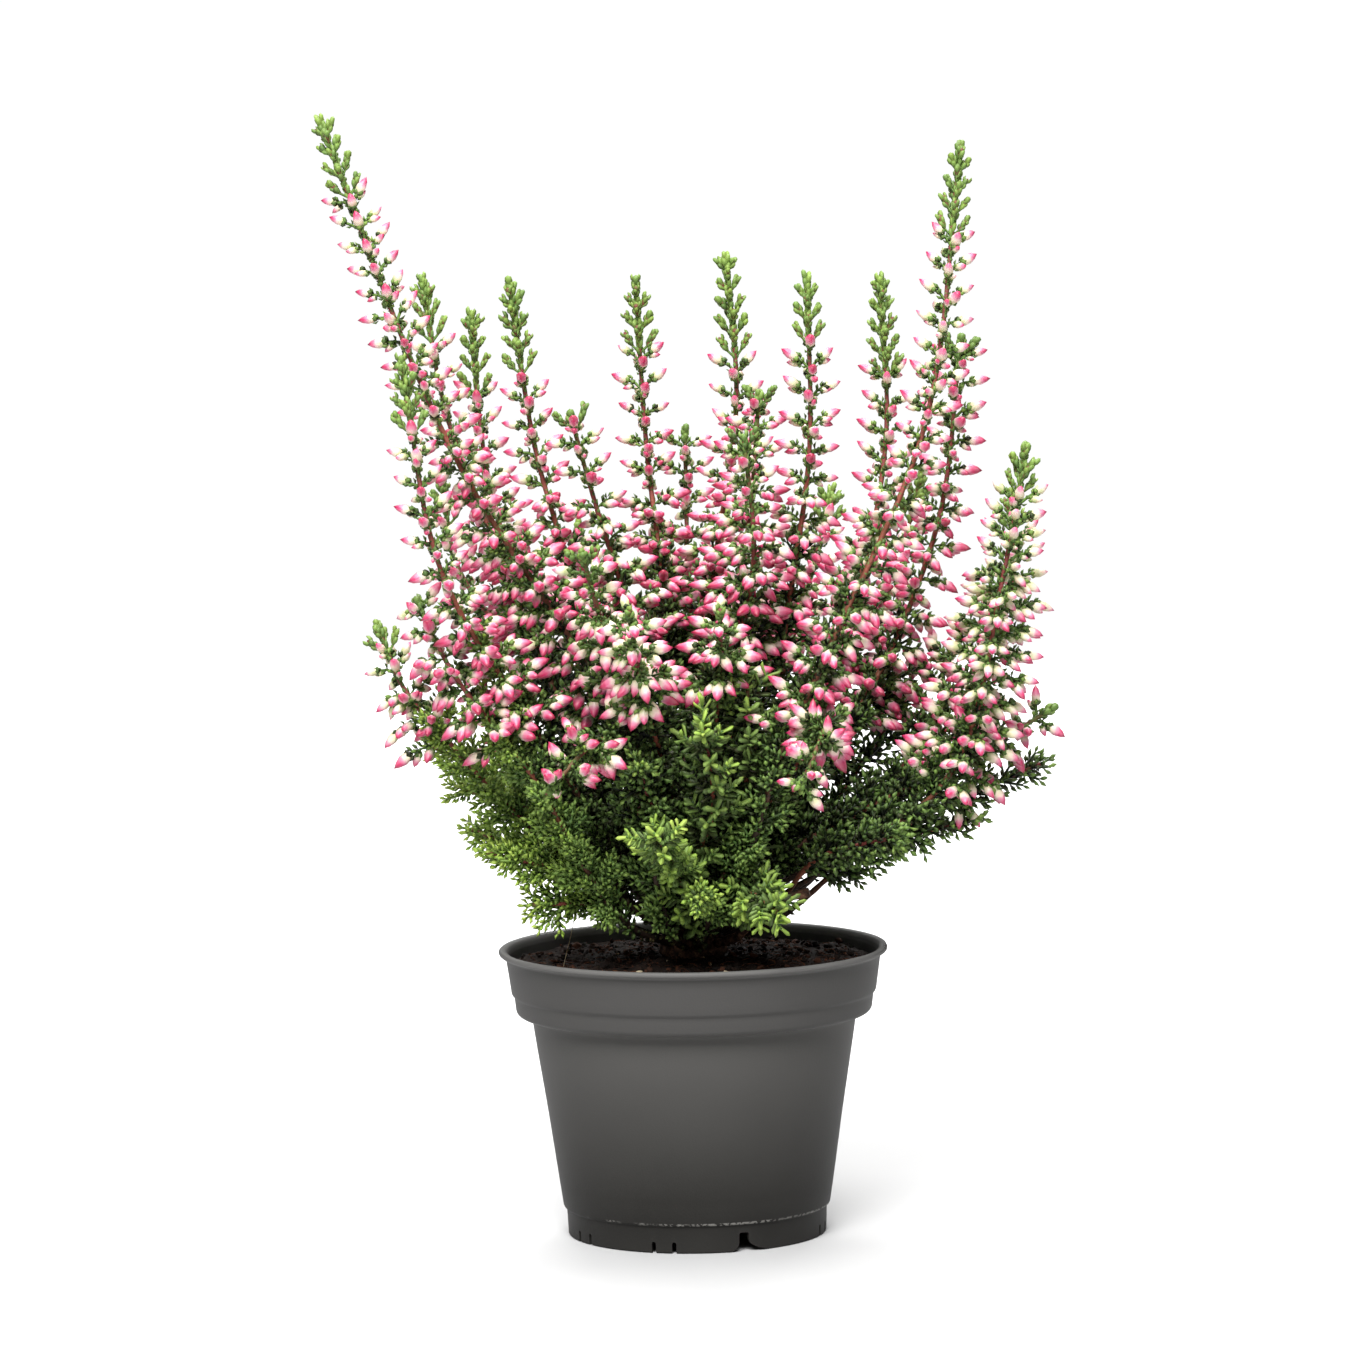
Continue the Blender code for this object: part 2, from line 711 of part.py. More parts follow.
def nearest_distance(route, target):
    """How far along a route its nearest point to a target lies."""
    nearest = min(range(len(route.line)), key=lambda index: (route.line[index] - target).length)
    return nearest * route.step


def make_plant():
    routes = [Route(line) for line in lines_of_stems()]
    room = Room()
    for number, route in enumerate(routes):
        radius = (CUT_BRANCH_RADIUS if number == len(routes) - 1 else STEM_AT_ROOT) + STEM_MARGIN
        room.take([(point, radius) for point in route.line], number, is_stem=True)
    for number, (_, _, low, green) in enumerate(SPIKES):
        route = routes[number]
        stem = grow_spike(number, route, room, nearest_distance(route, Vector(low)), green)
        name = f"flower_spike_{number + 1:02d}"
        finishes = [
            finish_of(f"{name}_stem", RED_WOOD, 0.7),
            finish_of(f"{name}_leaves", LEAF, 0.55),
            finish_of(f"{name}_buds", PINK, 0.45),
        ]
        object_of(name, stem.bm, finishes)
    for index in range(len(SHOOTS)):
        number = len(SPIKES) + index
        stem = grow_shoot(number, routes[number], room)
        name = f"leafy_shoot_{index + 1:02d}"
        finishes = [finish_of(f"{name}_stem", OLD_WOOD, 0.7), finish_of(f"{name}_leaves", LEAF, 0.55)]
        object_of(name, stem.bm, finishes)
    stem = grow_cut_branch(len(routes) - 1, routes[-1], room)
    object_of("cut_branch", stem.bm, [finish_of("cut_branch_wood", OLD_WOOD, 0.8)])


clear_scene()
make_pot()
make_soil()
make_crown()
make_plant()
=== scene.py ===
# %% [markdown]
# # A bud-blooming heather in its nursery pot
#
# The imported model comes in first, as a frame that stays where it is. Every finer piece below stands for one
# of its nodes and grows along the same lines. Lengths are in millimetres, as a gardener would give them, and
# turn into metres when a mesh is made.

# %% Load the frame
import json
import math
import random

import bmesh
import bpy
import numpy as np
from mathutils import Matrix, Vector, noise
from mathutils.kdtree import KDTree

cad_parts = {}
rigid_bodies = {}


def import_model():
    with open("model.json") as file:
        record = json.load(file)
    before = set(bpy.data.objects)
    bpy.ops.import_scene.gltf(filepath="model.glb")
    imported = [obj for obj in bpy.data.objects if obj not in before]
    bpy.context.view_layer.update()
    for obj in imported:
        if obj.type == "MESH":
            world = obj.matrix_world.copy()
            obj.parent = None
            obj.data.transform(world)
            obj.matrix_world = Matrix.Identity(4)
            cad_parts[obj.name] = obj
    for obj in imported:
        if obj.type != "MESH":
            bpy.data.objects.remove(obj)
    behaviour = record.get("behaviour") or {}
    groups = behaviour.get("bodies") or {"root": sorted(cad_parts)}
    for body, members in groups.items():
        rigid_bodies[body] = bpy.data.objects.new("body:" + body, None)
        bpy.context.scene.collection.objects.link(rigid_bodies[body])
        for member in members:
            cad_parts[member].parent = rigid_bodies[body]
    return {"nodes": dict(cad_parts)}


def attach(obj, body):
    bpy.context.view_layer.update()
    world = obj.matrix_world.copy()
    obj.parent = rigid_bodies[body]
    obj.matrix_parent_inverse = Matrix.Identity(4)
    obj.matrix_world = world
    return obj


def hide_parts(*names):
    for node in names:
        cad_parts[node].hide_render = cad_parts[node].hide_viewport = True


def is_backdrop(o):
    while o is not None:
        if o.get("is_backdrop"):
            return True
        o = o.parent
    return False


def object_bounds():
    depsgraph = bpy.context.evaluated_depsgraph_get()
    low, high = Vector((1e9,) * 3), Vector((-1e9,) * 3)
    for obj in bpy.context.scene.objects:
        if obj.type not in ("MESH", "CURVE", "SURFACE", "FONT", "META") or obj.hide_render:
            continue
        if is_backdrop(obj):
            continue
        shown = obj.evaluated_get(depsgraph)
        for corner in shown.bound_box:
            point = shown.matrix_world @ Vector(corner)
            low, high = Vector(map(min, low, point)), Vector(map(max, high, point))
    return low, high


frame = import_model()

MM = 0.001
TURN = 2 * math.pi
frame_box = [list(corner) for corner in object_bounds()]
scene = bpy.context.scene
print("nodes in the frame:", len(frame["nodes"]))

# %% [markdown]
# ## The camera
#
# The photograph looks at the pot's rim from a little above, and from far enough away that the pot hardly
# tapers by perspective. Its lens is given as a focal length in pixels of the 1366 pixel picture. A bearing, a
# pitch and a small roll would set the camera's angles; here its three axes are written out, which keeps the
# roll about the line of sight.

# %% Camera
PICTURE = 1366
FOCAL_PIXELS = 6090
SENSOR = 36.0
CAMERA_PLACE = Vector((-1.4, -1396.0, 258.5))
CAMERA_PITCH = math.radians(5.36)
CAMERA_ROLL = math.radians(0.9)


def make_camera():
    camera = bpy.data.objects.new("photo_camera", bpy.data.cameras.new("photo_camera"))
    camera.data.sensor_width = SENSOR
    camera.data.lens = FOCAL_PIXELS / PICTURE * SENSOR
    level = Vector((1, 0, 0))
    back = Vector((0, -math.cos(CAMERA_PITCH), math.sin(CAMERA_PITCH)))
    steep = Vector((0, math.sin(CAMERA_PITCH), math.cos(CAMERA_PITCH)))
    right = level * math.cos(CAMERA_ROLL) - steep * math.sin(CAMERA_ROLL)
    up = level * math.sin(CAMERA_ROLL) + steep * math.cos(CAMERA_ROLL)
    turn = Matrix((right, up, back)).transposed().to_4x4()
    camera.matrix_world = Matrix.Translation(CAMERA_PLACE * MM) @ turn
    scene.collection.objects.link(camera)
    scene.camera = camera
    print("lens:", round(camera.data.lens, 1), "mm")


make_camera()

# %% [markdown]
# ## Floor and light
#
# The pot stands on a white sweep that is lit until it nearly vanishes, so only a soft shadow grounds it. A
# pale disc does that from every side. Less light falls far from the pot, so the disc gets paler outwards,
# and in reflections it is darker all over. The background is white to the camera, but gives the plant less
# light than it shows, and reflects still less, or the dark middle of the plant and the satin of the pot
# would wash out. Three soft boxes do the rest: the strongest hangs high in front, one is overhead, and one
# behind makes the tips shine.


# %% Nodes in a line each
def node_of(tree, kind, fed=(), **settings):
    """A shader node with its settings. fed gives each input a value, or the socket that feeds it."""
    made = tree.nodes.new("ShaderNode" + kind)
    for name, value in settings.items():
        setattr(made, name, value)
    for label, value in dict(fed).items():
        if isinstance(value, bpy.types.NodeSocket):
            tree.links.new(value, made.inputs[label])
        else:
            made.inputs[label].default_value = value
    return made


def either(tree, factor, first, second):
    """The first of two numbers where factor is 0, and the second where it is 1."""
    fed = {"Factor": factor, "A": first, "B": second}
    return node_of(tree, "Mix", fed, data_type="FLOAT").outputs["Result"]


# %% Floor
FLOOR_RADIUS = 1.5  # in metres, as far as the soft boxes light it fully
SHOWN_FLOOR = (0.55, 0.9)  # near the pot, where it is lit most, and far from it
FLOOR_FADE = (0.12, 0.9)  # the distances between which it changes, in metres
REFLECTED_FLOOR = 0.4
FLOOR_DROP = 0.0001  # in metres, so that it doesn't share a plane with the pot's foot


def sweep_finish():
    finish = bpy.data.materials.new("white_sweep")
    finish.use_nodes = True
    tree = finish.node_tree
    place = node_of(tree, "TexCoord").outputs["Object"]
    reach = node_of(tree, "VectorMath", {0: place}, operation="LENGTH").outputs["Value"]
    ends = dict(zip(("From Min", "From Max", "To Min", "To Max"), (*FLOOR_FADE, *SHOWN_FLOOR)))
    shown = node_of(tree, "MapRange", {"Value": reach, **ends}, interpolation_type="SMOOTHSTEP")
    to_camera = node_of(tree, "LightPath").outputs["Is Camera Ray"]
    tone = either(tree, to_camera, REFLECTED_FLOOR, shown.outputs["Result"])
    shader = tree.nodes["Principled BSDF"]
    shader.inputs["Roughness"].default_value = 0.9
    tree.links.new(tone, shader.inputs["Base Color"])
    return finish


def mesh_from(bm, name):
    """A mesh of what a bmesh holds, which is freed."""
    mesh = bpy.data.meshes.new(name)
    bm.to_mesh(mesh)
    bm.free()
    return mesh


def pale_floor():
    bm = bmesh.new()
    bmesh.ops.create_circle(bm, cap_ends=True, segments=128, radius=FLOOR_RADIUS)
    mesh = mesh_from(bm, "floor")
    mesh.materials.append(sweep_finish())
    floor = bpy.data.objects.new("floor", mesh)
    floor.location.z = -FLOOR_DROP
    scene.collection.objects.link(floor)
    floor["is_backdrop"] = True


pale_floor()

# %% Light
SHOWN_WHITE = 1.02  # how bright the background is to the camera
DOME_LIGHT = 0.2  # and as a light
REFLECTED_DOME = 0.04  # and in reflections
LIT_POINT = Vector((0, 0, 0.12))
SOFT_BOXES = (  # name, place in metres, width in metres, power in watts
    ("high_front", (-0.2, -1.4, 1.6), 1.0, 72.0),
    ("overhead", (-0.1, 0.2, 2.0), 1.4, 46.0),
    ("behind", (0.1, 1.5, 1.6), 1.4, 38.0),
)


def light_world():
    world = bpy.data.worlds.new("white_room")
    world.use_nodes = True
    tree = world.node_tree
    background = tree.nodes["Background"]
    background.inputs["Color"].default_value = (1, 1, 1, 1)
    rays = node_of(tree, "LightPath").outputs
    dim = either(tree, rays["Is Glossy Ray"], DOME_LIGHT, REFLECTED_DOME)
    strength = either(tree, rays["Is Camera Ray"], dim, SHOWN_WHITE)
    tree.links.new(strength, background.inputs["Strength"])
    scene.world = world
    scene.view_settings.view_transform = "Standard"


def light_boxes():
    for name, place, width, power in SOFT_BOXES:
        lamp = bpy.data.lights.new(name, "AREA")
        lamp.size = width
        lamp.energy = power
        made = bpy.data.objects.new(name, lamp)
        made.location = place
        made.rotation_euler = (LIT_POINT - Vector(place)).to_track_quat("-Z", "Y").to_euler()
        scene.collection.objects.link(made)


light_world()
light_boxes()
print("soft boxes:", [name for name, *_ in SOFT_BOXES])

# %% [markdown]
# ## The lines that the stems follow
#
# Each flowering stem rises from the crown through two points to its tip, and each leafy shoot through one.
# These are the construction's own points, so what grows here stands exactly where its node does. A row goes
# from the tip down. A spike's buds begin near its lowest point, and its row ends in the length of its green
# tip.

# %% Stems
SPIKES = (
    ((-82, -8, 258), (-50, -25, 178), (-21, -22, 129), 20),
    ((-61, 28, 221), (-56, 24, 191), (-39, 14, 146), 16),
    ((-63, -42, 205), (-54, -48, 156), (-38, -36, 126), 18),
    ((-50, 42, 212), (-47, 38, 176), (-35, 20, 136), 20),
    ((-40, 8, 220), (-34, 6, 179), (-24, 0, 145), 22),
    ((-26, -12, 190), (-21, -12, 171), (-13, -6, 143), 4),
    ((-11, 26, 220), (-9, 24, 180), (-5, 12, 141), 18),
    ((0, 52, 183), (0, 46, 158), (0, 24, 133), 3),
    ((10, 12, 225), (12, 12, 192), (6, 8, 151), 24),
    ((17, -4, 194), (15, -6, 171), (10, -4, 138), 4),
    ((13, -34, 186), (15, -34, 161), (11, -20, 134), 4),
    ((28, -18, 221), (28, -20, 182), (22, -16, 141), 16),
    ((46, 30, 219), (47, 28, 182), (38, 14, 143), 24),
    ((63, -22, 250), (52, -42, 184), (33, -46, 142), 22),
    ((64, 10, 205), (58, 12, 162), (42, 6, 125), 5),
    ((77, -20, 182), (71, -26, 152), (59, -22, 108), 12),
    ((75, 4, 170), (74, 0, 146), (57, 8, 117), 10),
    ((-71, -10, 143), (-65, -16, 129), (-52, -20, 114), 8),
    ((-61, -30, 150), (-53, -42, 135), (-38, -36, 114), 3),
    ((-23, -62, 162), (-20, -52, 149), (-11, -30, 120), 4),
    ((-13, -72, 150), (-11, -56, 134), (-6, -30, 108), 2),
    ((7, -58, 149), (7, -48, 139), (5, -26, 112), 3),
    ((65, 18, 133), (55, 16, 130), (37, 8, 118), 3),
    ((83, -8, 121), (71, -8, 114), (53, -8, 105), 3),
    ((-32, -58, 109), (-20, -50, 120), (-9, -30, 106), 2),
    ((24, -66, 110), (29, -56, 122), (18, -34, 106), 2),
    ((-58, 50, 172), (-55, 44, 154), (-34, 26, 126), 12),
    ((-26, 69, 160), (-23, 58, 140), (-13, 32, 119), 8),
    ((9, 71, 162), (8, 59, 143), (4, 33, 120), 8),
    ((35, 62, 168), (30, 54, 149), (18, 30, 123), 10),
    ((56, 46, 172), (50, 44, 152), (29, 26, 123), 12),
)
SHOOTS = (
    ((-54, -12, 106), (-31, -10, 95)),
    ((-51, -5, 95), (-28, -5, 87)),
    ((-47, -24, 92), (-24, -15, 84)),
    ((-37, -18, 79), (-20, -12, 77)),
    ((-60, 8, 113), (-35, 6, 101)),
    ((3, -54, 123), (5, -38, 103)),
    ((13, -42, 130), (12, -30, 106)),
    ((-12, -51, 115), (-7, -31, 97)),
    ((-8, -56, 99), (-3, -31, 86)),
    ((19, -47, 80), (12, -31, 83)),
    ((2, -50, 84), (2, -28, 81)),
    ((81, -2, 108), (52, 0, 95)),
    ((65, -18, 97), (41, -12, 90)),
    ((47, -32, 95), (29, -21, 89)),
    ((51, 22, 122), (35, 13, 100)),
    ((-4, 30, 156), (-2, 18, 127)),
    ((-46, 54, 109), (-27, 30, 97)),
    ((-20, 62, 114), (-11, 35, 101)),
    ((9, 64, 112), (4, 36, 100)),
    ((40, 56, 114), (23, 31, 99)),
    ((62, 42, 104), (38, 25, 93)),
)
CUT_BRANCH = ((26.5, -18, 81), (15, -14, 78))

# %% [markdown]
# A line through three or four points could be a Bezier curve, but its bends would bulge near the crown,
# where the points are close together. Weighting each bend by the distances on either side of it keeps the
# curve tight there. The stems are then pushed apart a little at a time, as crowded stems do while they grow.

# %% Smooth lines
ROUTE_STEP = 2.5
CROWN_RADIUS = 8.0
GAP = 0.3


def even_line(dense, step):
    """The same line with its points at even distances."""
    travelled = [0.0]
    for first, second in zip(dense, dense[1:]):
        travelled.append(travelled[-1] + (second - first).length)
    count = max(4, round(travelled[-1] / step))
    line = []
    at = 0
    for index in range(count + 1):
        wanted = travelled[-1] * index / count
        while at < len(dense) - 2 and travelled[at + 1] < wanted:
            at += 1
        share = (wanted - travelled[at]) / max(travelled[at + 1] - travelled[at], 1e-9)
        line.append(dense[at].lerp(dense[at + 1], min(share, 1.0)))
    return line


def smooth_line(points, step):
    """Points every step along a curve through the given ones."""
    spans = [(end - start).length for start, end in zip(points, points[1:])]
    slopes = [(end - start) / span for start, end, span in zip(points, points[1:], spans)]
    ways = [slopes[0]]
    for first, second, near, far in zip(slopes, slopes[1:], spans, spans[1:]):
        ways.append((first * far + second * near) / (near + far))
    ways.append(slopes[-1])
    dense = []
    for start, end, leaving, arriving, span in zip(points, points[1:], ways, ways[1:], spans):
        pieces = max(2, int(span / 0.5))
        for index in range(pieces):
            t = index / pieces
            middle = start.lerp(end, 3 * t**2 - 2 * t**3)
            bends = leaving * (t**3 - 2 * t**2 + t) + arriving * (t**3 - t**2)
            dense.append(middle + bends * span)
    dense.append(points[-1])
    return even_line(dense, step)


# %% Roots spread over the crown
ROOT_SPACING = 2.35
ROOT_RISE = 0.5  # how much more steeply a stem leaves the crown than it goes on
ROOT_RUN = 9.0  # how far from the crown it keeps to that
LOWEST_ROOT = 0.25  # the least upward share of the way that a stem leaves the crown
SOIL_SEAT = 64.2
CROWN_MIDDLE = Vector((0, 0, SOIL_SEAT + GAP + 0.6))


def root_directions(targets):
    """A direction out of the crown for each stem, near the way it goes but clear of its neighbours."""
    directions = []
    for target in targets:
        way = target - CROWN_MIDDLE
        directions.append((way + Vector((0, 0, ROOT_RISE * way.xy.length))).normalized())
    apart = ROOT_SPACING / CROWN_RADIUS
    for _ in range(400):
        for i, first in enumerate(directions):
            for j in range(i + 1, len(directions)):
                between = first - directions[j]
                if between.length < apart:
                    push = between.normalized() * (apart - between.length) * 0.5
                    first = first + push
                    directions[j] = (directions[j] - push).normalized()
            first.z = max(first.z, LOWEST_ROOT)
            directions[i] = first.normalized()
    return directions


# %% Neighbouring stems bent clear of each other
STEM_SPACING = 2.3
SPRAY_SPACING = 5.5
SPREAD_OUT = 45.0
PUSH = 0.35  # the share of an overlap that one round undoes
STIFF_FOOT = 5  # the points over which a stem, held at the crown, comes to give way


def spacing_at(distance):
    share = min(distance / SPREAD_OUT, 1.0)
    return STEM_SPACING + (SPRAY_SPACING - STEM_SPACING) * share


def bent_clear(lines, rounds=70):
    start = [[point.copy() for point in line] for line in lines]
    places = [(i, j) for i, line in enumerate(lines) for j in range(len(line))]
    for _ in range(rounds):
        tree = KDTree(len(places))
        for number, (i, j) in enumerate(places):
            tree.insert(lines[i][j], number)
        tree.balance()
        moves = [[Vector() for _ in line] for line in lines]
        for i, j in places:
            wanted = spacing_at(j * ROUTE_STEP)
            for point, other, distance in tree.find_range(lines[i][j], wanted):
                if places[other][0] != i and distance > 1e-6:
                    moves[i][j] += (lines[i][j] - point) / distance * (wanted - distance) * PUSH
        for i, line in enumerate(lines):
            shifts = [line[j] + moves[i][j] - start[i][j] for j in range(len(line))]
            for _ in range(4):
                middle = zip(shifts, shifts[1:], shifts[2:])
                shifts[1:-1] = [a * 0.25 + b * 0.5 + c * 0.25 for a, b, c in middle]
            for j in range(2, len(line)):
                line[j] = start[i][j] + shifts[j] * min((j - 1) / STIFF_FOOT, 0.97)
    return lines


def lines_of_stems():
    """Spikes first, then shoots, then the cut branch."""
    ways = [[Vector(low), Vector(mid), Vector(tip)] for tip, mid, low, _ in SPIKES]
    ways += [[Vector(mid), Vector(tip)] for tip, mid in SHOOTS]
    ways.append([Vector(CUT_BRANCH[1]), Vector(CUT_BRANCH[0])])
    lines = []
    for way, direction in zip(ways, root_directions([way[0] for way in ways])):
        root = CROWN_MIDDLE + direction * (CROWN_RADIUS + GAP)
        out = CROWN_MIDDLE + direction * (CROWN_RADIUS + ROOT_RUN)
        lines.append(smooth_line([root, out, *way], ROUTE_STEP))
    return bent_clear(lines)


# %% A route along which things grow
class Route:
    """A stem's line with a steady pair of sides, so that what grows on it doesn't twist."""

    def __init__(self, line):
        self.line = smooth_line(line, 0.5)
        self.step = (self.line[1] - self.line[0]).length
        self.length = self.step * (len(self.line) - 1)
        self.along = [
            (self.line[min(i + 1, len(self.line) - 1)] - self.line[max(i - 1, 0)]).normalized()
            for i in range(len(self.line))
        ]
        chord = self.line[-1] - self.line[len(self.line) // 3]
        across = Vector((0, 1, 0)).cross(chord.normalized())
        if across.length < 0.3:
            across = Vector((1, 0, 0))
        self.side = []
        for tangent in self.along:
            across = (across - tangent * across.dot(tangent)).normalized()
            self.side.append(across)

    def at(self, distance):
        """The point at this distance from the root, the way the stem runs there, and its two sides."""
        place = min(max(distance / self.step, 0), len(self.line) - 1.001)
        index = int(place)
        point = self.line[index].lerp(self.line[index + 1], place - index)
        tangent, side = self.along[index], self.side[index]
        return point, tangent, (side, tangent.cross(side))

    def nearest(self, target):
        found = min(range(len(self.line)), key=lambda index: (self.line[index] - target).length)
        return found * self.step


routes = [Route(line) for line in lines_of_stems()]
print("stems:", len(routes), "together", round(sum(route.length for route in routes)), "mm long")

# %% [markdown]
# ## Many small copies in one mesh
#
# A heather has thousands of leaves and buds. Instances would be the light way to place them, but a real mesh
# is wanted. So each kind of leaf or bud is drawn once as a small shape one unit long, and a Growth notes
# where each copy goes. At the end all copies are laid out at once with numpy, which takes moments.
#
# Four numbers stay on every point for the materials to read: along (from the foot of a leaf or bud to its
# point), tone (a chance shade for each copy), age (dead, dark and young growth, with painted shade for
# leaves deep inside, or how ripe a bud is) and edge (the rim of a leaf or the crease between two sepals).

# %% Small shapes
VALUES = ("along", "tone", "age", "edge")
ALONG, TONE, AGE, EDGE = range(len(VALUES))
STEM_SLOT, LEAF_SLOT, BUD_SLOT = 0, 1, 2


def sleeve(levels, sides):
    """Two triangles between each side of a ring and the next ring."""
    faces = []
    for level in range(levels - 1):
        for i in range(sides):
            a, b = level * sides + i, level * sides + (i + 1) % sides
            faces += [(a, b, b + sides), (a, b + sides, a + sides)]
    return faces


def cone(first, sides, tip, downward=False):
    """Triangles from the ring whose points start at first to its tip."""
    edges = [(first + i, first + (i + 1) % sides) for i in range(sides)]
    return [(b, a, tip) if downward else (a, b, tip) for a, b in edges]


class Shape:
    """A small mesh one unit long, with the value of edge on each point."""

    def __init__(self, points, edge, faces, slot):
        self.points = np.array(points)
        self.edge = np.array(edge)
        self.faces = np.array(faces)
        self.slot = slot


def ringed(rings, apex, slot, foot=None):
    """A Shape of rings of (x, y, z, edge), closed by a point above, and by one below if foot is given."""
    sides = len(rings[0])
    rows = [row for ring in rings for row in ring] + [(*apex, 0.0)]
    faces = sleeve(len(rings), sides) + cone((len(rings) - 1) * sides, sides, len(rows) - 1)
    if foot:
        rows.append((*foot, 0.0))
        faces += cone(0, sides, len(rows) - 1, downward=True)
    return Shape([row[:3] for row in rows], [row[3] for row in rows], faces, slot)


def leaf_shape(levels, thickness, curl, foot=None):
    """A keeled needle: flat above and ridged below, bent towards the twig at its point."""
    rings = []
    for t, width in levels:
        half, bend = width / 2, curl * t * t
        rings.append([(-half, bend, t, 1.0), (0, bend - thickness * width, t, 0.0), (half, bend, t, 1.0)])
    return ringed(rings, (0, curl, 1), LEAF_SLOT, foot)


def bud_shape(levels, sides, crease, twist, slot):
    """A pointed oval whose four sepals meet in creases."""
    rings = []
    for t, radius in levels:
        ring = []
        for i in range(sides):
            angle = TURN * i / sides + twist * t
            in_crease = i % 2
            out = radius * (1 - crease * in_crease) / 2
            ring.append((out * math.cos(angle), out * math.sin(angle), t, float(in_crease)))
        rings.append(ring)
    return ringed(rings, (0, 0, 1), slot)


def stick_shape(slot, sides):
    ring = [(math.cos(TURN * i / sides) / 2, math.sin(TURN * i / sides) / 2) for i in range(sides)]
    return ringed([[(x, y, t, 0.0) for x, y in ring] for t in (0.0, 1.0)], (0, 0, 1), slot)


BUD_LEVELS = ((0, 0.5), (0.2, 0.88), (0.46, 1.0), (0.77, 0.62))
shapes = {
    "needle": leaf_shape(((0, 0.65), (0.78, 1.0)), 0.6, 0.10),
    "plain_needle": leaf_shape(((0.62, 1.0),), 0.6, 0.10, (0, 0, 0)),
    "scale": leaf_shape(((0, 0.55), (0.5, 1.0), (0.86, 0.8)), 0.5, 0.22),
    "bract": leaf_shape(((0.6, 1.0),), 0.5, 0.22, (0, 0, 0)),
    "bud": bud_shape(BUD_LEVELS, 6, 0.08, 0.5, BUD_SLOT),
    "club": bud_shape(((0, 0.4), (0.5, 0.85), (0.85, 1.0)), 6, 0.0, 0.0, STEM_SLOT),
    "stick": stick_shape(STEM_SLOT, 4),
    "green_stick": stick_shape(LEAF_SLOT, 3),
}
print({name: len(shape.faces) for name, shape in shapes.items()}, "triangles a copy")


# %% Laying the copies out
def unit(rows):
    return rows / np.maximum(np.linalg.norm(rows, axis=1, keepdims=True), 1e-9)


def copies_of(shape, rows):
    """Points, faces and values of every copy of one shape."""
    data = np.array(rows)
    way = unit(data[:, 3:6])
    side = unit(np.cross(data[:, 6:9], way))
    front = np.cross(way, side)
    length, width, depth, tone, age = data[:, 9:14].T
    axes = np.stack([side * width[:, None], front * depth[:, None], way * length[:, None]], axis=1)
    points = data[:, None, 0:3] + np.einsum("nj,kji->kni", shape.points, axes)
    count = len(shape.points)
    faces = shape.faces[None] + (np.arange(len(data)) * count)[:, None, None]
    values = np.empty((len(data), count, len(VALUES)))
    values[:, :, ALONG] = shape.points[:, 2]
    values[:, :, TONE] = tone[:, None]
    values[:, :, AGE] = age[:, None]
    values[:, :, EDGE] = shape.edge
    return points.reshape(-1, 3), faces.reshape(-1, 3), values.reshape(-1, len(VALUES))


class Growth:
    """Everything that grows in one piece."""

    def __init__(self, luck):
        self.luck = luck
        self.rows = {}
        self.parts = []
        self.used = 0

    def put(self, shape, root, way, facing, size, tone, age):
        """Notes a copy that points along way, its flat side to facing. size is length, width and depth."""
        self.rows.setdefault(shape, []).append((*root, *way, *facing, *size, tone, age))

    def rod(self, start, end, facing, thick, age, longer=1.0, shape="green_stick"):
        """A straight length of stalk, some of which may run on into the next."""
        way = end - start
        self.put(shape, start, way, facing, (way.length * longer, thick, thick), 0.5, age)

    def add(self, points, faces, values, slot):
        self.parts.append((points, faces + self.used, values, np.full(len(faces), slot)))
        self.used += len(points)

    def laid_out(self):
        for name, rows in self.rows.items():
            self.add(*copies_of(shapes[name], rows), shapes[name].slot)
        return [np.concatenate(column) for column in zip(*self.parts)]


def mesh_of(name, points, faces, values, slots):
    mesh = bpy.data.meshes.new(name)
    mesh.vertices.add(len(points))
    mesh.vertices.foreach_set("co", (points * MM).astype(np.float32).ravel())
    mesh.loops.add(faces.size)
    mesh.loops.foreach_set("vertex_index", faces.astype(np.int32).ravel())
    mesh.polygons.add(len(faces))
    mesh.polygons.foreach_set("loop_start", np.arange(0, faces.size, 3, dtype=np.int32))
    mesh.polygons.foreach_set("material_index", slots.astype(np.int32))
    mesh.update(calc_edges=True)
    mesh.shade_smooth()
    for column, value in enumerate(VALUES):
        attribute = mesh.attributes.new(value, "FLOAT", "POINT")
        attribute.data.foreach_set("value", values[:, column].astype(np.float32))
    return mesh


# %% Handing a piece to the frame
made_triangles = {}


def piece_of(name, mesh, finishes, node):
    """Places a finished mesh with its finishes, and hides the node that it stands for."""
    for finish in finishes:
        mesh.materials.append(finish)
    made = bpy.data.objects.new(name, mesh)
    scene.collection.objects.link(made)
    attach(made, "root")
    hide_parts(node)
    mesh.calc_loop_triangles()
    made_triangles[name] = len(mesh.loop_triangles)


# %% [markdown]
# ## Finishes
#
# Nothing on this object is one even colour. Peat, bark, leaf and plastic all have patches of a slightly
# different shade and a fine unevenness that breaks the light, so both effects are shader node groups: one
# gives a patchy mask, the other a roughened normal. Each material places them with its own values.


# %% Helpers for node groups
def linear(red, green, blue):
    """A colour as it looks on a screen, from 0 to 255, as the shaders take it."""
    parts = [part / 255 for part in (red, green, blue)]
    return tuple(part / 12.92 if part <= 0.04045 else ((part + 0.055) / 1.055) ** 2.4 for part in parts)


def math_of(tree, operation, *values, **settings):
    """What a Math node makes of these numbers or sockets."""
    return node_of(tree, "Math", dict(enumerate(values)), operation=operation, **settings).outputs[0]


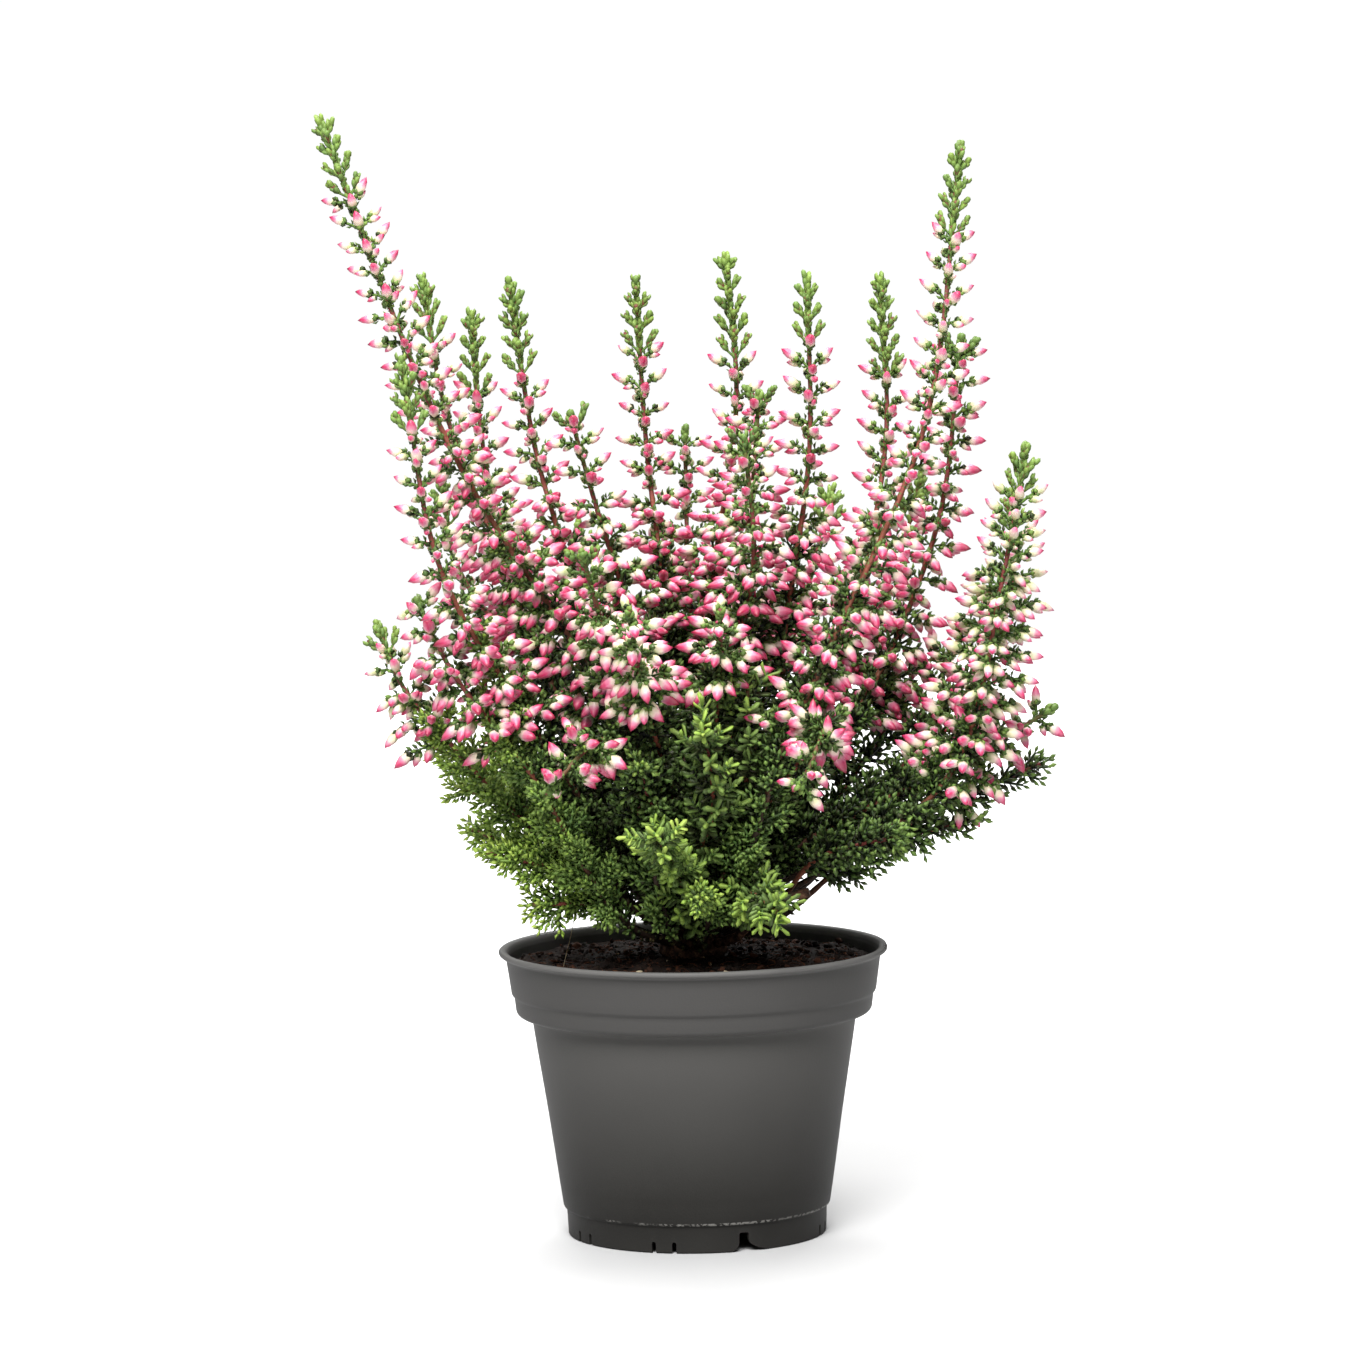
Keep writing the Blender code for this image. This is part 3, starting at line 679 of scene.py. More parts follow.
def group_of(name, ins, out, kind):
    """An empty node group that takes numbers with these defaults, and puts out one thing."""
    group = bpy.data.node_groups.new(name, "ShaderNodeTree")
    for label, value in ins.items():
        socket = group.interface.new_socket(label, in_out="INPUT", socket_type="NodeSocketFloat")
        socket.default_value = value
    group.interface.new_socket(out, in_out="OUTPUT", socket_type=kind)
    return group, group.nodes.new("NodeGroupInput").outputs, group.nodes.new("NodeGroupOutput").inputs


# %% Patches and grain, for every material
GRAIN_DETAIL = 4.0


def cloud_of(group, size, detail):
    """Noise whose clouds are about this size, in metres."""
    place = node_of(group, "TexCoord").outputs["Object"]
    fed = {"Vector": place, "Scale": math_of(group, "DIVIDE", 1.0, size), "Detail": detail}
    return node_of(group, "TexNoise", fed).outputs["Fac"]


def make_patches():
    """A mask from 0 to 1 of soft patches, Size across, with Contrast between them."""
    ins = {"Size": 0.002, "Detail": 3.0, "Contrast": 2.0}
    group, given, out = group_of("patches", ins, "Mask", "NodeSocketFloat")
    centred = math_of(group, "SUBTRACT", cloud_of(group, given["Size"], given["Detail"]), 0.5)
    mask = math_of(group, "MULTIPLY_ADD", centred, given["Contrast"], 0.5, use_clamp=True)
    group.links.new(mask, out["Mask"])
    return group


def make_grain():
    """A normal roughened by grains of this Size and Depth."""
    ins = {"Size": 0.0005, "Depth": 0.0001}
    group, given, out = group_of("grain", ins, "Normal", "NodeSocketVector")
    cloud = cloud_of(group, given["Size"], GRAIN_DETAIL)
    bump = node_of(group, "Bump", {"Height": cloud, "Distance": given["Depth"]})
    group.links.new(bump.outputs["Normal"], out["Normal"])
    return group


patches = make_patches()
grain = make_grain()
print("node groups:", patches.name, grain.name)

# %% A finish in the making
MIX_COLOURS = (6, 7)  # where a Mix node takes its two colours
MIXED_COLOUR = 2  # and where it gives one back


class Finish:
    """A material and short ways to its usual nodes. Each way but done gives back a socket."""

    def __init__(self, name, roughness, specular):
        self.material = bpy.data.materials.new(name)
        self.material.use_nodes = True
        self.tree = self.material.node_tree
        self.shader = self.tree.nodes["Principled BSDF"]
        self.shader.inputs["Roughness"].default_value = roughness
        self.shader.inputs["Specular IOR Level"].default_value = specular

    def patch(self, size, detail, contrast):
        fed = {"Size": size, "Detail": detail, "Contrast": contrast}
        return node_of(self.tree, "Group", fed, node_tree=patches).outputs["Mask"]

    def read(self, name):
        """The number of this name that a mesh keeps on its points."""
        settings = {"attribute_type": "GEOMETRY", "attribute_name": name}
        return node_of(self.tree, "Attribute", **settings).outputs["Fac"]

    def product(self, first, second):
        return math_of(self.tree, "MULTIPLY", first, second)

    def sum(self, first, second, weight, offset):
        """first + second * weight + offset, kept between 0 and 1."""
        weighted = math_of(self.tree, "MULTIPLY_ADD", second, weight, offset)
        return math_of(self.tree, "ADD", first, weighted, use_clamp=True)

    def band(self, low, high, soft):
        """A mask that is 1 between two heights above the floor."""
        place = node_of(self.tree, "TexCoord").outputs["Object"]
        height = node_of(self.tree, "SeparateXYZ", {0: place}).outputs["Z"]
        masks = []
        for start, end in ((low - soft, low), (high + soft, high)):
            fed = {"Value": height, "From Min": start * MM, "From Max": end * MM}
            masks.append(node_of(self.tree, "MapRange", fed).outputs["Result"])
        return self.product(*masks)

    def ramp(self, factor, stops):
        """A colour for each value of factor, from (place, colour) stops."""
        made = node_of(self.tree, "ValToRGB", {"Fac": factor})
        elements = made.color_ramp.elements
        while len(elements) < len(stops):
            elements.new(1.0)
        for element, (place, colour) in zip(elements, stops):
            element.position = place
            element.color = (*linear(*colour), 1)
        return made.outputs["Color"]

    def mixed(self, factor, first, second, blend="MIX"):
        """first and second are sockets or colours."""
        fed = {"Factor": factor}
        for place, value in zip(MIX_COLOURS, (first, second)):
            fed[place] = (*linear(*value), 1) if isinstance(value, tuple) else value
        mix = node_of(self.tree, "Mix", fed, data_type="RGBA", blend_type=blend)
        return mix.outputs[MIXED_COLOUR]

    def done(self, colour, grain_size, grain_depth):
        """The material, with its colour and its grain in place."""
        self.tree.links.new(colour, self.shader.inputs["Base Color"])
        fed = {"Size": grain_size, "Depth": grain_depth}
        rough = node_of(self.tree, "Group", fed, node_tree=grain)
        self.tree.links.new(rough.outputs["Normal"], self.shader.inputs["Normal"])
        return self.material


# %% [markdown]
# ### Leaves, stems and buds
#
# A heather leaf is dark and a little glossy when old, bright yellow-green when young and brown when dead, so
# one ramp over its age makes all three; its darkest live stops are painted shade for leaves that get little
# light. A stem goes from grey-brown wood through maroon to green. A bud is greenish white at its foot and
# pink at its point, and the pink creeps down as it ripens: adding its age to the place along it moves the
# whole ramp.


# %% Leaf finish
def leaf_finish():
    finish = Finish("heather_leaf", 0.46, 0.24)
    age = finish.sum(finish.read("age"), finish.read("tone"), 0.24, -0.12)
    age = finish.sum(age, finish.read("along"), 0.12, -0.05)
    stops = (
        (0.0, (88, 52, 34)),  # withered
        (0.04, (62, 46, 28)),
        # Painted shade: these stops colour leaves that get little light.
        (0.09, (9, 15, 6)),  # deep inside
        (0.24, (12, 20, 8)),
        (0.4, (87, 119, 57)),  # last year's
        (0.56, (118, 150, 70)),
        (0.72, (130, 158, 68)),
        (0.88, (156, 194, 74)),  # this year's
        (1.0, (182, 208, 94)),
    )
    rim = finish.product(finish.read("edge"), 0.14)
    colour = finish.mixed(rim, finish.ramp(age, stops), (190, 205, 130))
    shade = finish.mixed(finish.patch(0.004, 2.0, 1.6), (205, 205, 205), (255, 255, 255))
    return finish.done(finish.mixed(1.0, colour, shade, "MULTIPLY"), 0.0003, 0.00005)


# %% Stem finish
def stem_finish():
    finish = Finish("heather_stem", 0.6, 0.4)
    age = finish.sum(finish.read("age"), finish.patch(0.0015, 4.0, 2.5), 0.14, -0.07)
    stops = (
        (0.0, (48, 36, 30)),  # old wood
        (0.3, (58, 43, 34)),
        (0.44, (108, 66, 46)),
        (0.6, (140, 74, 56)),
        (0.8, (118, 48, 50)),  # maroon
        (0.9, (96, 92, 48)),
        (1.0, (112, 150, 60)),  # green
    )
    return finish.done(finish.ramp(age, stops), 0.0006, 0.00025)


# %% Bud finish
LIGHT_INSIDE = (  # a little light passes through a sepal, and red goes furthest
    ("Subsurface Weight", 0.12),
    ("Subsurface Radius", (1.0, 0.4, 0.4)),
    ("Subsurface Scale", 0.0008),
)


def bud_finish():
    finish = Finish("heather_bud", 0.38, 0.5)
    for label, value in LIGHT_INSIDE:
        finish.shader.inputs[label].default_value = value
    place = finish.sum(finish.read("along"), finish.read("age"), 0.6, -0.3)
    place = finish.sum(place, finish.read("tone"), 0.24, -0.12)
    place = finish.sum(place, finish.patch(0.0012, 3.0, 2.0), 0.14, -0.07)
    stops = (
        (0.0, (182, 192, 132)),  # greenish foot
        (0.18, (224, 220, 184)),
        (0.36, (234, 206, 194)),
        (0.5, (222, 128, 158)),
        (0.68, (204, 46, 102)),
        (1.0, (154, 12, 54)),  # ripe point
    )
    crease = finish.product(finish.read("edge"), 0.22)
    colour = finish.mixed(crease, finish.ramp(place, stops), (246, 196, 208))
    return finish.done(colour, 0.0004, 0.00004)


plant_finishes = [stem_finish(), leaf_finish(), bud_finish()]
print("plant finishes:", [finish.name for finish in plant_finishes])

# %% [markdown]
# ### Pot plastic
#
# The pot is vacuum-formed from thin recycled plastic: warm anthracite, satin, with faint mould waves, a
# paler worn lip, and pale stress marks where the wall is creased just above its foot. Its wall is painted
# paler towards the top, as painted light. The marks need no texture: a band of height above the floor,
# broken up by patches, is enough.


# %% Plastic finish
PAINTED_LIGHT_AND_WEAR = (  # from one height to another, how soft its ends are, how strong it is, and its colour
    # Painted light: the first row paints the wall paler towards the top and under the collar, as if more
    # light fell there.
    (52.0, 70.0, 40.0, 0.75, (92, 91, 89)),  # paler towards the top, where more light falls
    (52.0, 70.0, 1.0, 0.75, (69, 68, 67)),  # the collar
    (64.8, 70.0, 0.4, 0.5, (116, 115, 113)),  # the lip
)
CREASE_BAND = (6.5, 6.8, 0.25)


def plastic_finish():
    finish = Finish("pot_plastic_satin", 0.5, 0.15)
    colour = finish.mixed(finish.patch(0.018, 2.0, 1.5), (41, 40, 38), (47, 46, 44))
    for low, high, soft, strength, tint in PAINTED_LIGHT_AND_WEAR:
        colour = finish.mixed(finish.product(finish.band(low, high, soft), strength), colour, tint)
    marks = finish.product(finish.band(*CREASE_BAND), finish.patch(0.0007, 2.0, 9.0))
    marks = finish.product(marks, finish.patch(0.011, 3.0, 7.0))
    colour = finish.mixed(finish.product(marks, 0.5), colour, (180, 178, 172))
    return finish.done(colour, 0.0005, 0.00003)


# %% Peat and bark finishes
def peat_finish():
    finish = Finish("damp_peat", 0.92, 0.25)
    age = finish.sum(finish.read("age"), finish.patch(0.003, 5.0, 2.6), 0.3, -0.15)
    stops = (
        (0.0, (22, 16, 13)),
        (0.45, (44, 30, 23)),
        (0.75, (84, 50, 34)),
        (0.93, (120, 78, 50)),
        (1.0, (196, 180, 150)),
    )
    return finish.done(finish.ramp(age, stops), 0.0007, 0.0006)


def bark_finish():
    finish = Finish("old_bark", 0.8, 0.3)
    stops = ((0.0, (42, 28, 22)), (0.5, (80, 54, 40)), (1.0, (126, 92, 70)))
    return finish.done(finish.ramp(finish.patch(0.0016, 5.0, 3.0), stops), 0.0009, 0.0006)


plastic = plastic_finish()
peat = peat_finish()
bark = bark_finish()
print("pot and soil finishes:", plastic.name, peat.name, bark.name)

# %% [markdown]
# ## The pot
#
# A thin formed wall is one outline turned about the pot's axis: down the inside, over the rolled lip, down
# the collar with its step, in under the ledge, and down the wall to the foot. The openings in the foot are
# cut by a Boolean, because they cross the turned faces at any angle. The large ones have rounded corners,
# where the plastic was trimmed.

# %% The pot's outline
WALL = 0.8
POT_HEIGHT = 66.5
LIP_RADIUS = 45.0
FOOT_RADIUS = 29.9
FLOOR_UNDERSIDE = 4.5
FLOOR_TOP = 5.3
POT_SEGMENTS = 160


def arc(centre, radius, begin, end, pieces):
    """Points round a centre, between two angles in degrees."""
    angles = [math.radians(begin + (end - begin) * step / pieces) for step in range(pieces + 1)]
    return [(centre[0] + radius * math.cos(a), centre[1] + radius * math.sin(a)) for a in angles]


def wall_between(low, high, pieces):
    """A straight stretch in even steps, without its ends."""
    steps = [step / pieces for step in range(1, pieces)]
    return [(low[0] + (high[0] - low[0]) * s, low[1] + (high[1] - low[1]) * s) for s in steps]


def pot_outline():
    ring_inside = FOOT_RADIUS - WALL
    foot = [(0, FLOOR_UNDERSIDE), (15, FLOOR_UNDERSIDE), (ring_inside, FLOOR_UNDERSIDE)]
    foot += [(ring_inside, 0.2), (ring_inside + 0.2, 0), (FOOT_RADIUS - 0.25, 0), (FOOT_RADIUS, 0.25)]
    foot += [(30.15, 5.9), (30.3, 6.15), (30.75, 6.45), (30.92, 6.8)]
    wall = wall_between((30.92, 6.8), (37.35, 49.9), 12)
    ledge = [(37.35, 49.9), (37.5, 50.5), (37.9, 50.95), (38.7, 51.15)]
    ledge += arc((39.6, 52.75), 1.6, -80, -10, 5)
    collar = [(41.45, 54.6), (41.6, 55.5), (41.75, 55.8), (42.1, 56.15), (42.25, 56.6)]
    collar += wall_between((42.25, 56.6), (43.4, 64.5), 4)
    collar += [(43.4, 64.5), (43.65, 64.95), (44.3, 65.15)]
    lip = arc((LIP_RADIUS - 0.65, 65.85), 0.65, -80, 90, 7)
    inside = [(43.7, 66.45), (43.15, 66.1), (42.75, 65.3), (42.5, 64.0), (41.35, 56.2), (40.6, 54.5)]
    inside += [(40.2, 53.2), (39.2, 52.0), (36.7, 51.4), (36.45, 50.6)]
    inside += wall_between((36.45, 50.6), (30.0, 6.6), 4)
    return foot + wall + ledge + collar + lip + inside + [(29.9, FLOOR_TOP), (15, FLOOR_TOP), (0, FLOOR_TOP)]


def turned(outline, sides):
    """The closed surface that an outline of (radius, height) sweeps about the axis."""
    bm = bmesh.new()
    rings = []
    for radius, height in outline:
        if radius < 1e-6:
            rings.append([bm.verts.new((0, 0, height))])
            continue
        angles = [TURN * i / sides for i in range(sides)]
        rings.append([bm.verts.new((radius * math.cos(a), radius * math.sin(a), height)) for a in angles])
    for low, high in zip(rings, rings[1:]):
        for i in range(sides):
            j = (i + 1) % sides
            corners = [low[i % len(low)], low[j % len(low)], high[j % len(high)], high[i % len(high)]]
            bm.faces.new(list(dict.fromkeys(corners)))
    bmesh.ops.recalc_face_normals(bm, faces=list(bm.faces))
    return bm


# %% Nicks and waves of real plastic
MOULD_WAVE = (0.055, 0.16)  # how fine its noise is, and how far it moves the plastic
LIP_WAVE = (0.45, 0.05)
WORN_LIP = (1.3, 0.3)
WORN_HEADING, WORN_SPAN = -4.0, 9
NICKS = (-9.0, -6.4, -4.6, -1.8)  # the headings of deeper nicks
FLAT_FOOT = 5  # below this height, and nearer the axis than this, nothing moves
FLAT_FLOOR = 25


def wave_at(place, fineness, depth):
    return noise.noise(place * fineness) * depth


def wear_pot(bm):
    """Faint mould waves all over, and a worn lip at one side."""
    for vert in bm.verts:
        out = math.hypot(vert.co.x, vert.co.y)
        if out < FLAT_FLOOR or vert.co.z < FLAT_FOOT:
            continue
        wave = wave_at(vert.co, *MOULD_WAVE)
        if vert.co.z > 64.7 and out > 43:
            wave += wave_at(vert.co, *LIP_WAVE)
            heading = math.degrees(math.atan2(vert.co.y, vert.co.x))
            if abs(heading - WORN_HEADING) < WORN_SPAN:
                wave += wave_at(vert.co, *WORN_LIP) - 0.1
        grown = 1 + wave / out
        vert.co.x *= grown
        vert.co.y *= grown


# %% Openings in the foot
NOTCH_HEADINGS = (-69, 111)
SLIT_PAIR_HEADINGS = (-150, -105, -15, 30, 75, 165)
SLIT_PAIR_SPREAD = 4.6
DRAIN_RADIUS = 3.2
DRAIN_RING = 18.0
DRAINS = 5
NICK_RADIUS = 0.42
DRILL = 4.0  # the length of what cuts a hole
THROUGH = 2.5  # how far what cuts a notch or slit reaches, inwards and outwards


def notch_outline():
    """Across and up: a narrow slot at the top, whose sides flare outwards, one more than the other."""
    right = [(8.0 - 7.1 * math.sin(a), 2.9 - 2.9 * math.cos(a)) for a in np.linspace(0, TURN / 4, 8)]
    left = [(-4.0 + 2.6 * math.cos(a), 2.0 - 2.0 * math.sin(a)) for a in np.linspace(0, TURN / 4, 6)]
    top = [(0.9, 4.1), (0.6, 4.4), (-1.1, 4.4), (-1.4, 4.1)]
    return [(-4.0, -1.0), (8.0, -1.0)] + right + top + left


def slit_outline():
    return [(-0.5, -1.0), (0.5, -1.0), (0.5, 2.2), (0.3, 2.55), (-0.3, 2.55), (-0.5, 2.2)]


def cutter_of(outline, heading, cutters):
    """An outline pushed through the foot ring."""
    bm = bmesh.new()
    ends = []
    for x in (-THROUGH, THROUGH):
        ends.append([bm.verts.new((x * MM, across * MM, z * MM)) for across, z in outline])
    count = len(outline)
    for i in range(count):
        j = (i + 1) % count
        bm.faces.new((ends[0][i], ends[0][j], ends[1][j], ends[1][i]))
    bm.faces.new(ends[0])
    bm.faces.new(ends[1])
    bmesh.ops.recalc_face_normals(bm, faces=list(bm.faces))
    place_cutter(bm, FOOT_RADIUS - 0.3, heading, 0, cutters)


def place_cutter(bm, radius, heading, height, cutters):
    cutter = bpy.data.objects.new("cutter", mesh_from(bm, "cutter"))
    angle = math.radians(heading)
    cutter.location = (radius * math.cos(angle) * MM, radius * math.sin(angle) * MM, height * MM)
    cutter.rotation_euler.z = angle
    cutters.objects.link(cutter)


def place_cutters():
    cutters = bpy.data.collections.new("cutters")
    scene.collection.children.link(cutters)
    for heading in NOTCH_HEADINGS:
        cutter_of(notch_outline(), heading, cutters)
    for middle in SLIT_PAIR_HEADINGS:
        for heading in (middle - SLIT_PAIR_SPREAD, middle + SLIT_PAIR_SPREAD):
            cutter_of(slit_outline(), heading, cutters)
    middle = (FLOOR_TOP + FLOOR_UNDERSIDE) / 2
    holes = [(0, 0, middle, DRAIN_RADIUS)]
    holes += [(DRAIN_RING, index * 360 / DRAINS, middle, DRAIN_RADIUS) for index in range(DRAINS)]
    holes += [(LIP_RADIUS - 0.55, heading, POT_HEIGHT - 0.6, NICK_RADIUS) for heading in NICKS]
    for radius, heading, height, size in holes:
        bm = bmesh.new()
        wide = size * MM
        bmesh.ops.create_cone(bm, cap_ends=True, segments=20, radius1=wide, radius2=wide, depth=DRILL * MM)
        place_cutter(bm, radius, heading, height, cutters)
    return cutters


# %% Pot
def make_pot():
    bm = turned(pot_outline(), POT_SEGMENTS)
    wear_pot(bm)
    bmesh.ops.scale(bm, vec=(MM, MM, MM), verts=list(bm.verts))
    holder = bpy.data.objects.new("pot_blank", mesh_from(bm, "pot_blank"))
    scene.collection.objects.link(holder)
    cutters = place_cutters()
    cut = holder.modifiers.new("openings", "BOOLEAN")
    cut.operand_type = "COLLECTION"
    cut.collection = cutters
    cut.solver = "EXACT"
    graph = bpy.context.evaluated_depsgraph_get()
    mesh = bpy.data.meshes.new_from_object(holder.evaluated_get(graph))
    mesh.name = "pot_fine"
    for helper in [holder, *cutters.objects]:
        bpy.data.objects.remove(helper)
    bpy.data.collections.remove(cutters)
    mesh.materials.clear()
    mesh.shade_smooth()
    mesh.set_sharp_from_angle(angle=math.radians(38))
    piece_of("pot_fine", mesh, [plastic], "pot")
    print("pot:", made_triangles["pot_fine"], "triangles")


make_pot()

# %% [markdown]
# ## The peat
#
# Potting peat is a crumbly top over a plain block. The block is turned like the pot, with its top pushed up
# and down by two sizes of noise. Crumbs and fibres are then strewn over it, since their loose edges are what
# the eye reads as soil; a bumpy skin alone looks like cloth.

# %% The block of peat
SOIL_EDGE = 62.8
SOIL_REACH = 41.9
SOIL_RINGS = 52
CROWN_HOLE = 4.6
CROWN_DEPTH = 11.0
SOIL_SEGMENTS = 200


def soil_outline():
    below = [(0, 5.6), (28.9, 5.6), (35.95, 52.0), (38.6, 52.6), (39.7, 54.1), (40.6, 57.0)]
    below.append((SOIL_REACH, SOIL_EDGE - 0.6))
    rings = [SOIL_REACH - (SOIL_REACH - CROWN_HOLE) * ring / SOIL_RINGS for ring in range(SOIL_RINGS + 1)]
    top = [(radius, soil_level(radius)) for radius in rings]
    foot = SOIL_SEAT - CROWN_DEPTH
    return below + top + [(CROWN_HOLE, foot), (0, foot)]


def soil_level(radius):
    """The smooth level of the top, rising a little to the crown."""
    rise = min(max((42 - radius) / 32, 0), 1)
    return SOIL_EDGE + (SOIL_SEAT - SOIL_EDGE) * rise * rise


def soil_bump(x, y):
    """How far the crumbly top stands above its smooth level."""
    out = math.hypot(x, y)
    near_crown = min(max((out - 5.5) / 5, 0), 1)
    near_wall = min(max((42.2 - out) / 2, 0.3), 1)
    clods = noise.noise(Vector((x * 0.16, y * 0.16, 3))) * 1.3
    crumbs = noise.noise(Vector((x * 0.55, y * 0.55, 7))) * 0.75
    grit = noise.noise(Vector((x * 1.5, y * 1.5, 11))) * 0.35
    return (clods + crumbs + grit) * near_crown * near_wall


def arrays_of(bm):
    """The points and the faces of a bmesh, which is freed."""
    bm.verts.index_update()
    points = np.array([vert.co[:] for vert in bm.verts])
    faces = np.array([[vert.index for vert in face.verts] for face in bm.faces])
    bm.free()
    return points, faces


def make_soil_block(growth):
    bm = turned(soil_outline(), SOIL_SEGMENTS)
    bmesh.ops.triangulate(bm, faces=list(bm.faces))
    for vert in bm.verts:
        out = math.hypot(vert.co.x, vert.co.y)
        if vert.co.z > SOIL_EDGE - 0.3 and out > CROWN_HOLE + 0.2:
            vert.co.z += soil_bump(vert.co.x, vert.co.y)
    points, faces = arrays_of(bm)
    values = np.zeros((len(points), len(VALUES)))
    values[:, AGE] = 0.22 + 0.1 * np.sin(points[:, 0] * 0.7) * np.cos(points[:, 1] * 0.6)
    growth.add(points, faces, values, 0)


# %% Crumbs and fibres
CRUMBS = 1700
FIBRES = 620
FINE_CRUMB = 1.5  # below this size a crumb has fewer faces
PALE_HAIR = ((-30.0, -6.0, 62.6), (-29.2, -6.2, 66.0), (-28.0, -6.0, 70.5), (-27.4, -5.8, 73.5))


def crumb_shape(subdivisions):
    bm = bmesh.new()
    bmesh.ops.create_icosphere(bm, subdivisions=subdivisions, radius=0.5)
    for vert in bm.verts:
        vert.co *= 1 + noise.noise(vert.co * 4.0) * 0.8
    points, faces = arrays_of(bm)
    return Shape(points, np.zeros(len(points)), faces, 0)


shapes["crumb"] = crumb_shape(2)
shapes["fine_crumb"] = crumb_shape(1)


def on_the_soil(luck):
    """A chance place on the peat's top, clear of the wall and the crown."""
    out = math.sqrt(luck.uniform(9.0**2, 41.0**2))
    angle = luck.uniform(0, TURN)
    x, y = out * math.cos(angle), out * math.sin(angle)
    return Vector((x, y, soil_level(out) + soil_bump(x, y)))


def strew_crumbs(growth):
    luck = growth.luck
    for _ in range(CRUMBS):
        size = 0.5 + 1.7 * luck.random() ** 3
        place = on_the_soil(luck) + Vector((0, 0, size * 0.12))
        way = Vector([luck.gauss(0, 1) for _ in range(3)])
        age = luck.choice((0.05, 0.2, 0.3, 0.4, 0.55, 0.7)) if luck.random() > 0.02 else 1.0
        size_of = (size, size * luck.uniform(0.5, 1), size * luck.uniform(0.4, 0.8))
        shape = "fine_crumb" if size < FINE_CRUMB else "crumb"
        growth.put(shape, place, way, (0.3, 0.2, 1), size_of, luck.random(), age)


def strew_fibres(growth):
    luck = growth.luck
    for _ in range(FIBRES):
        start = on_the_soil(luck) + Vector((0, 0, 0.1))
        heading = luck.uniform(0, TURN)
        age = luck.choice((0.35, 0.6, 0.75, 0.8))
        pace = luck.uniform(0.6, 1.4)
        rise = luck.uniform(-0.05, 0.35)
        for _ in range(luck.randint(2, 6)):
            heading += luck.uniform(-0.7, 0.7)
            rise -= 0.12
            way = Vector((math.cos(heading), math.sin(heading), rise)) * pace
            if (start + way).xy.length > 41.3:
                break
            growth.put("stick", start, way, (0, 0, 1), (way.length * 1.15, 0.2, 0.2), 0.5, age)
            start = start + way


def pale_hair(growth):
    """The one long pale hair that stands up at the left."""
    joints = [Vector(joint) for joint in PALE_HAIR]
    for start, end in zip(joints, joints[1:]):
        growth.rod(start, end, (1, 0, 0), 0.16, 1.0, shape="stick")


def make_soil():
    growth = Growth(random.Random("peat"))
    make_soil_block(growth)
    strew_crumbs(growth)
    strew_fibres(growth)
    pale_hair(growth)
    points, faces, values, _ = growth.laid_out()
    mesh = mesh_of("soil_fine", points, faces, values, np.zeros(len(faces)))
    piece_of("soil_fine", mesh, [peat], "soil")
    print("peat:", made_triangles["soil_fine"], "triangles")


make_soil()

# %% [markdown]
# ## Crown and cut branch
#
# All stems leave one knobbly woody crown, half hidden in leaves. A turned dome displaced by noise gives its
# burls. The old cut branch beside it is a bare stub with a ragged end.


# %% Tubes along a line
def round_the(sides, angle):
    """The direction at this angle from the first of two sides towards the second."""
    return sides[0] * math.cos(angle) + sides[1] * math.sin(angle)


def tube(growth, centres, sides_of, radii, ages, sides, tone=0.5):
    """A closed tube through the centres. sides_of gives each ring's two directions."""
    rings = []
    for centre, pair, radius in zip(centres, sides_of, radii):
        rings += [centre + round_the(pair, TURN * i / sides) * radius for i in range(sides)]
    points = np.array([point[:] for point in (*rings, centres[0], centres[-1])])
    foot, top = len(rings), len(rings) + 1
    faces = sleeve(len(centres), sides) + cone(0, sides, foot, downward=True) + cone(foot - sides, sides, top)
    values = np.zeros((len(points), len(VALUES)))
    values[:, TONE] = tone
    values[:, AGE] = (*np.repeat(ages, sides), ages[0], ages[-1])
    growth.add(points, np.array(faces), values, STEM_SLOT)


# %% Crown
def make_crown():
    base = SOIL_SEAT + GAP
    middle = CROWN_MIDDLE.z
    foot = SOIL_SEAT - CROWN_DEPTH + GAP
    dome = arc((0, middle), CROWN_RADIUS, 0, 80, 9)
    outline = [(0, foot), (4.0, foot), (4.0, base), (CROWN_RADIUS - 0.8, base), *dome]
    outline.append((0, middle + CROWN_RADIUS))
    bm = turned(outline, 40)
    bmesh.ops.subdivide_edges(bm, edges=list(bm.edges), cuts=1, use_grid_fill=True)
    for vert in bm.verts:
        if vert.co.z > base + 0.2:
            way = (vert.co - CROWN_MIDDLE).normalized()
            vert.co += way * (noise.noise(vert.co * 0.35) * 0.7 + noise.noise(vert.co * 1.1) * 0.3 - 0.3)
    bmesh.ops.scale(bm, vec=(MM, MM, MM), verts=list(bm.verts))
    mesh = mesh_from(bm, "root_crown_fine")
    mesh.shade_smooth()
    piece_of("root_crown_fine", mesh, [bark], "root_crown")


make_crown()


# %% Cut branch
BRANCH_RINGS = 22
BRANCH_RADIUS = 1.15
BRANCH_TAPER = 0.1


def make_cut_branch():
    growth = Growth(random.Random("cut branch"))
    route = routes[-1]
    places = [route.at(distance) for distance in np.linspace(0, route.length, BRANCH_RINGS)]
    centres = [point + side * noise.noise(point * 0.4) * 0.2 for point, _, (side, _) in places]
    slimmed = np.linspace(0, BRANCH_TAPER, BRANCH_RINGS)
    rough = [0.18 * noise.noise(point * 0.8) for point in centres]
    radii = [BRANCH_RADIUS - less + more for less, more in zip(slimmed, rough)]
    tube(growth, centres, [place[2] for place in places], radii, np.full(BRANCH_RINGS, 0.1), sides=12)
    points, faces, values, _ = growth.laid_out()
    mesh = mesh_of("cut_branch_fine", points, faces, values, np.zeros(len(faces)))
    piece_of("cut_branch_fine", mesh, [bark], "cut_branch")


make_cut_branch()
print("crown and branch:", made_triangles["root_crown_fine"] + made_triangles["cut_branch_fine"], "triangles")
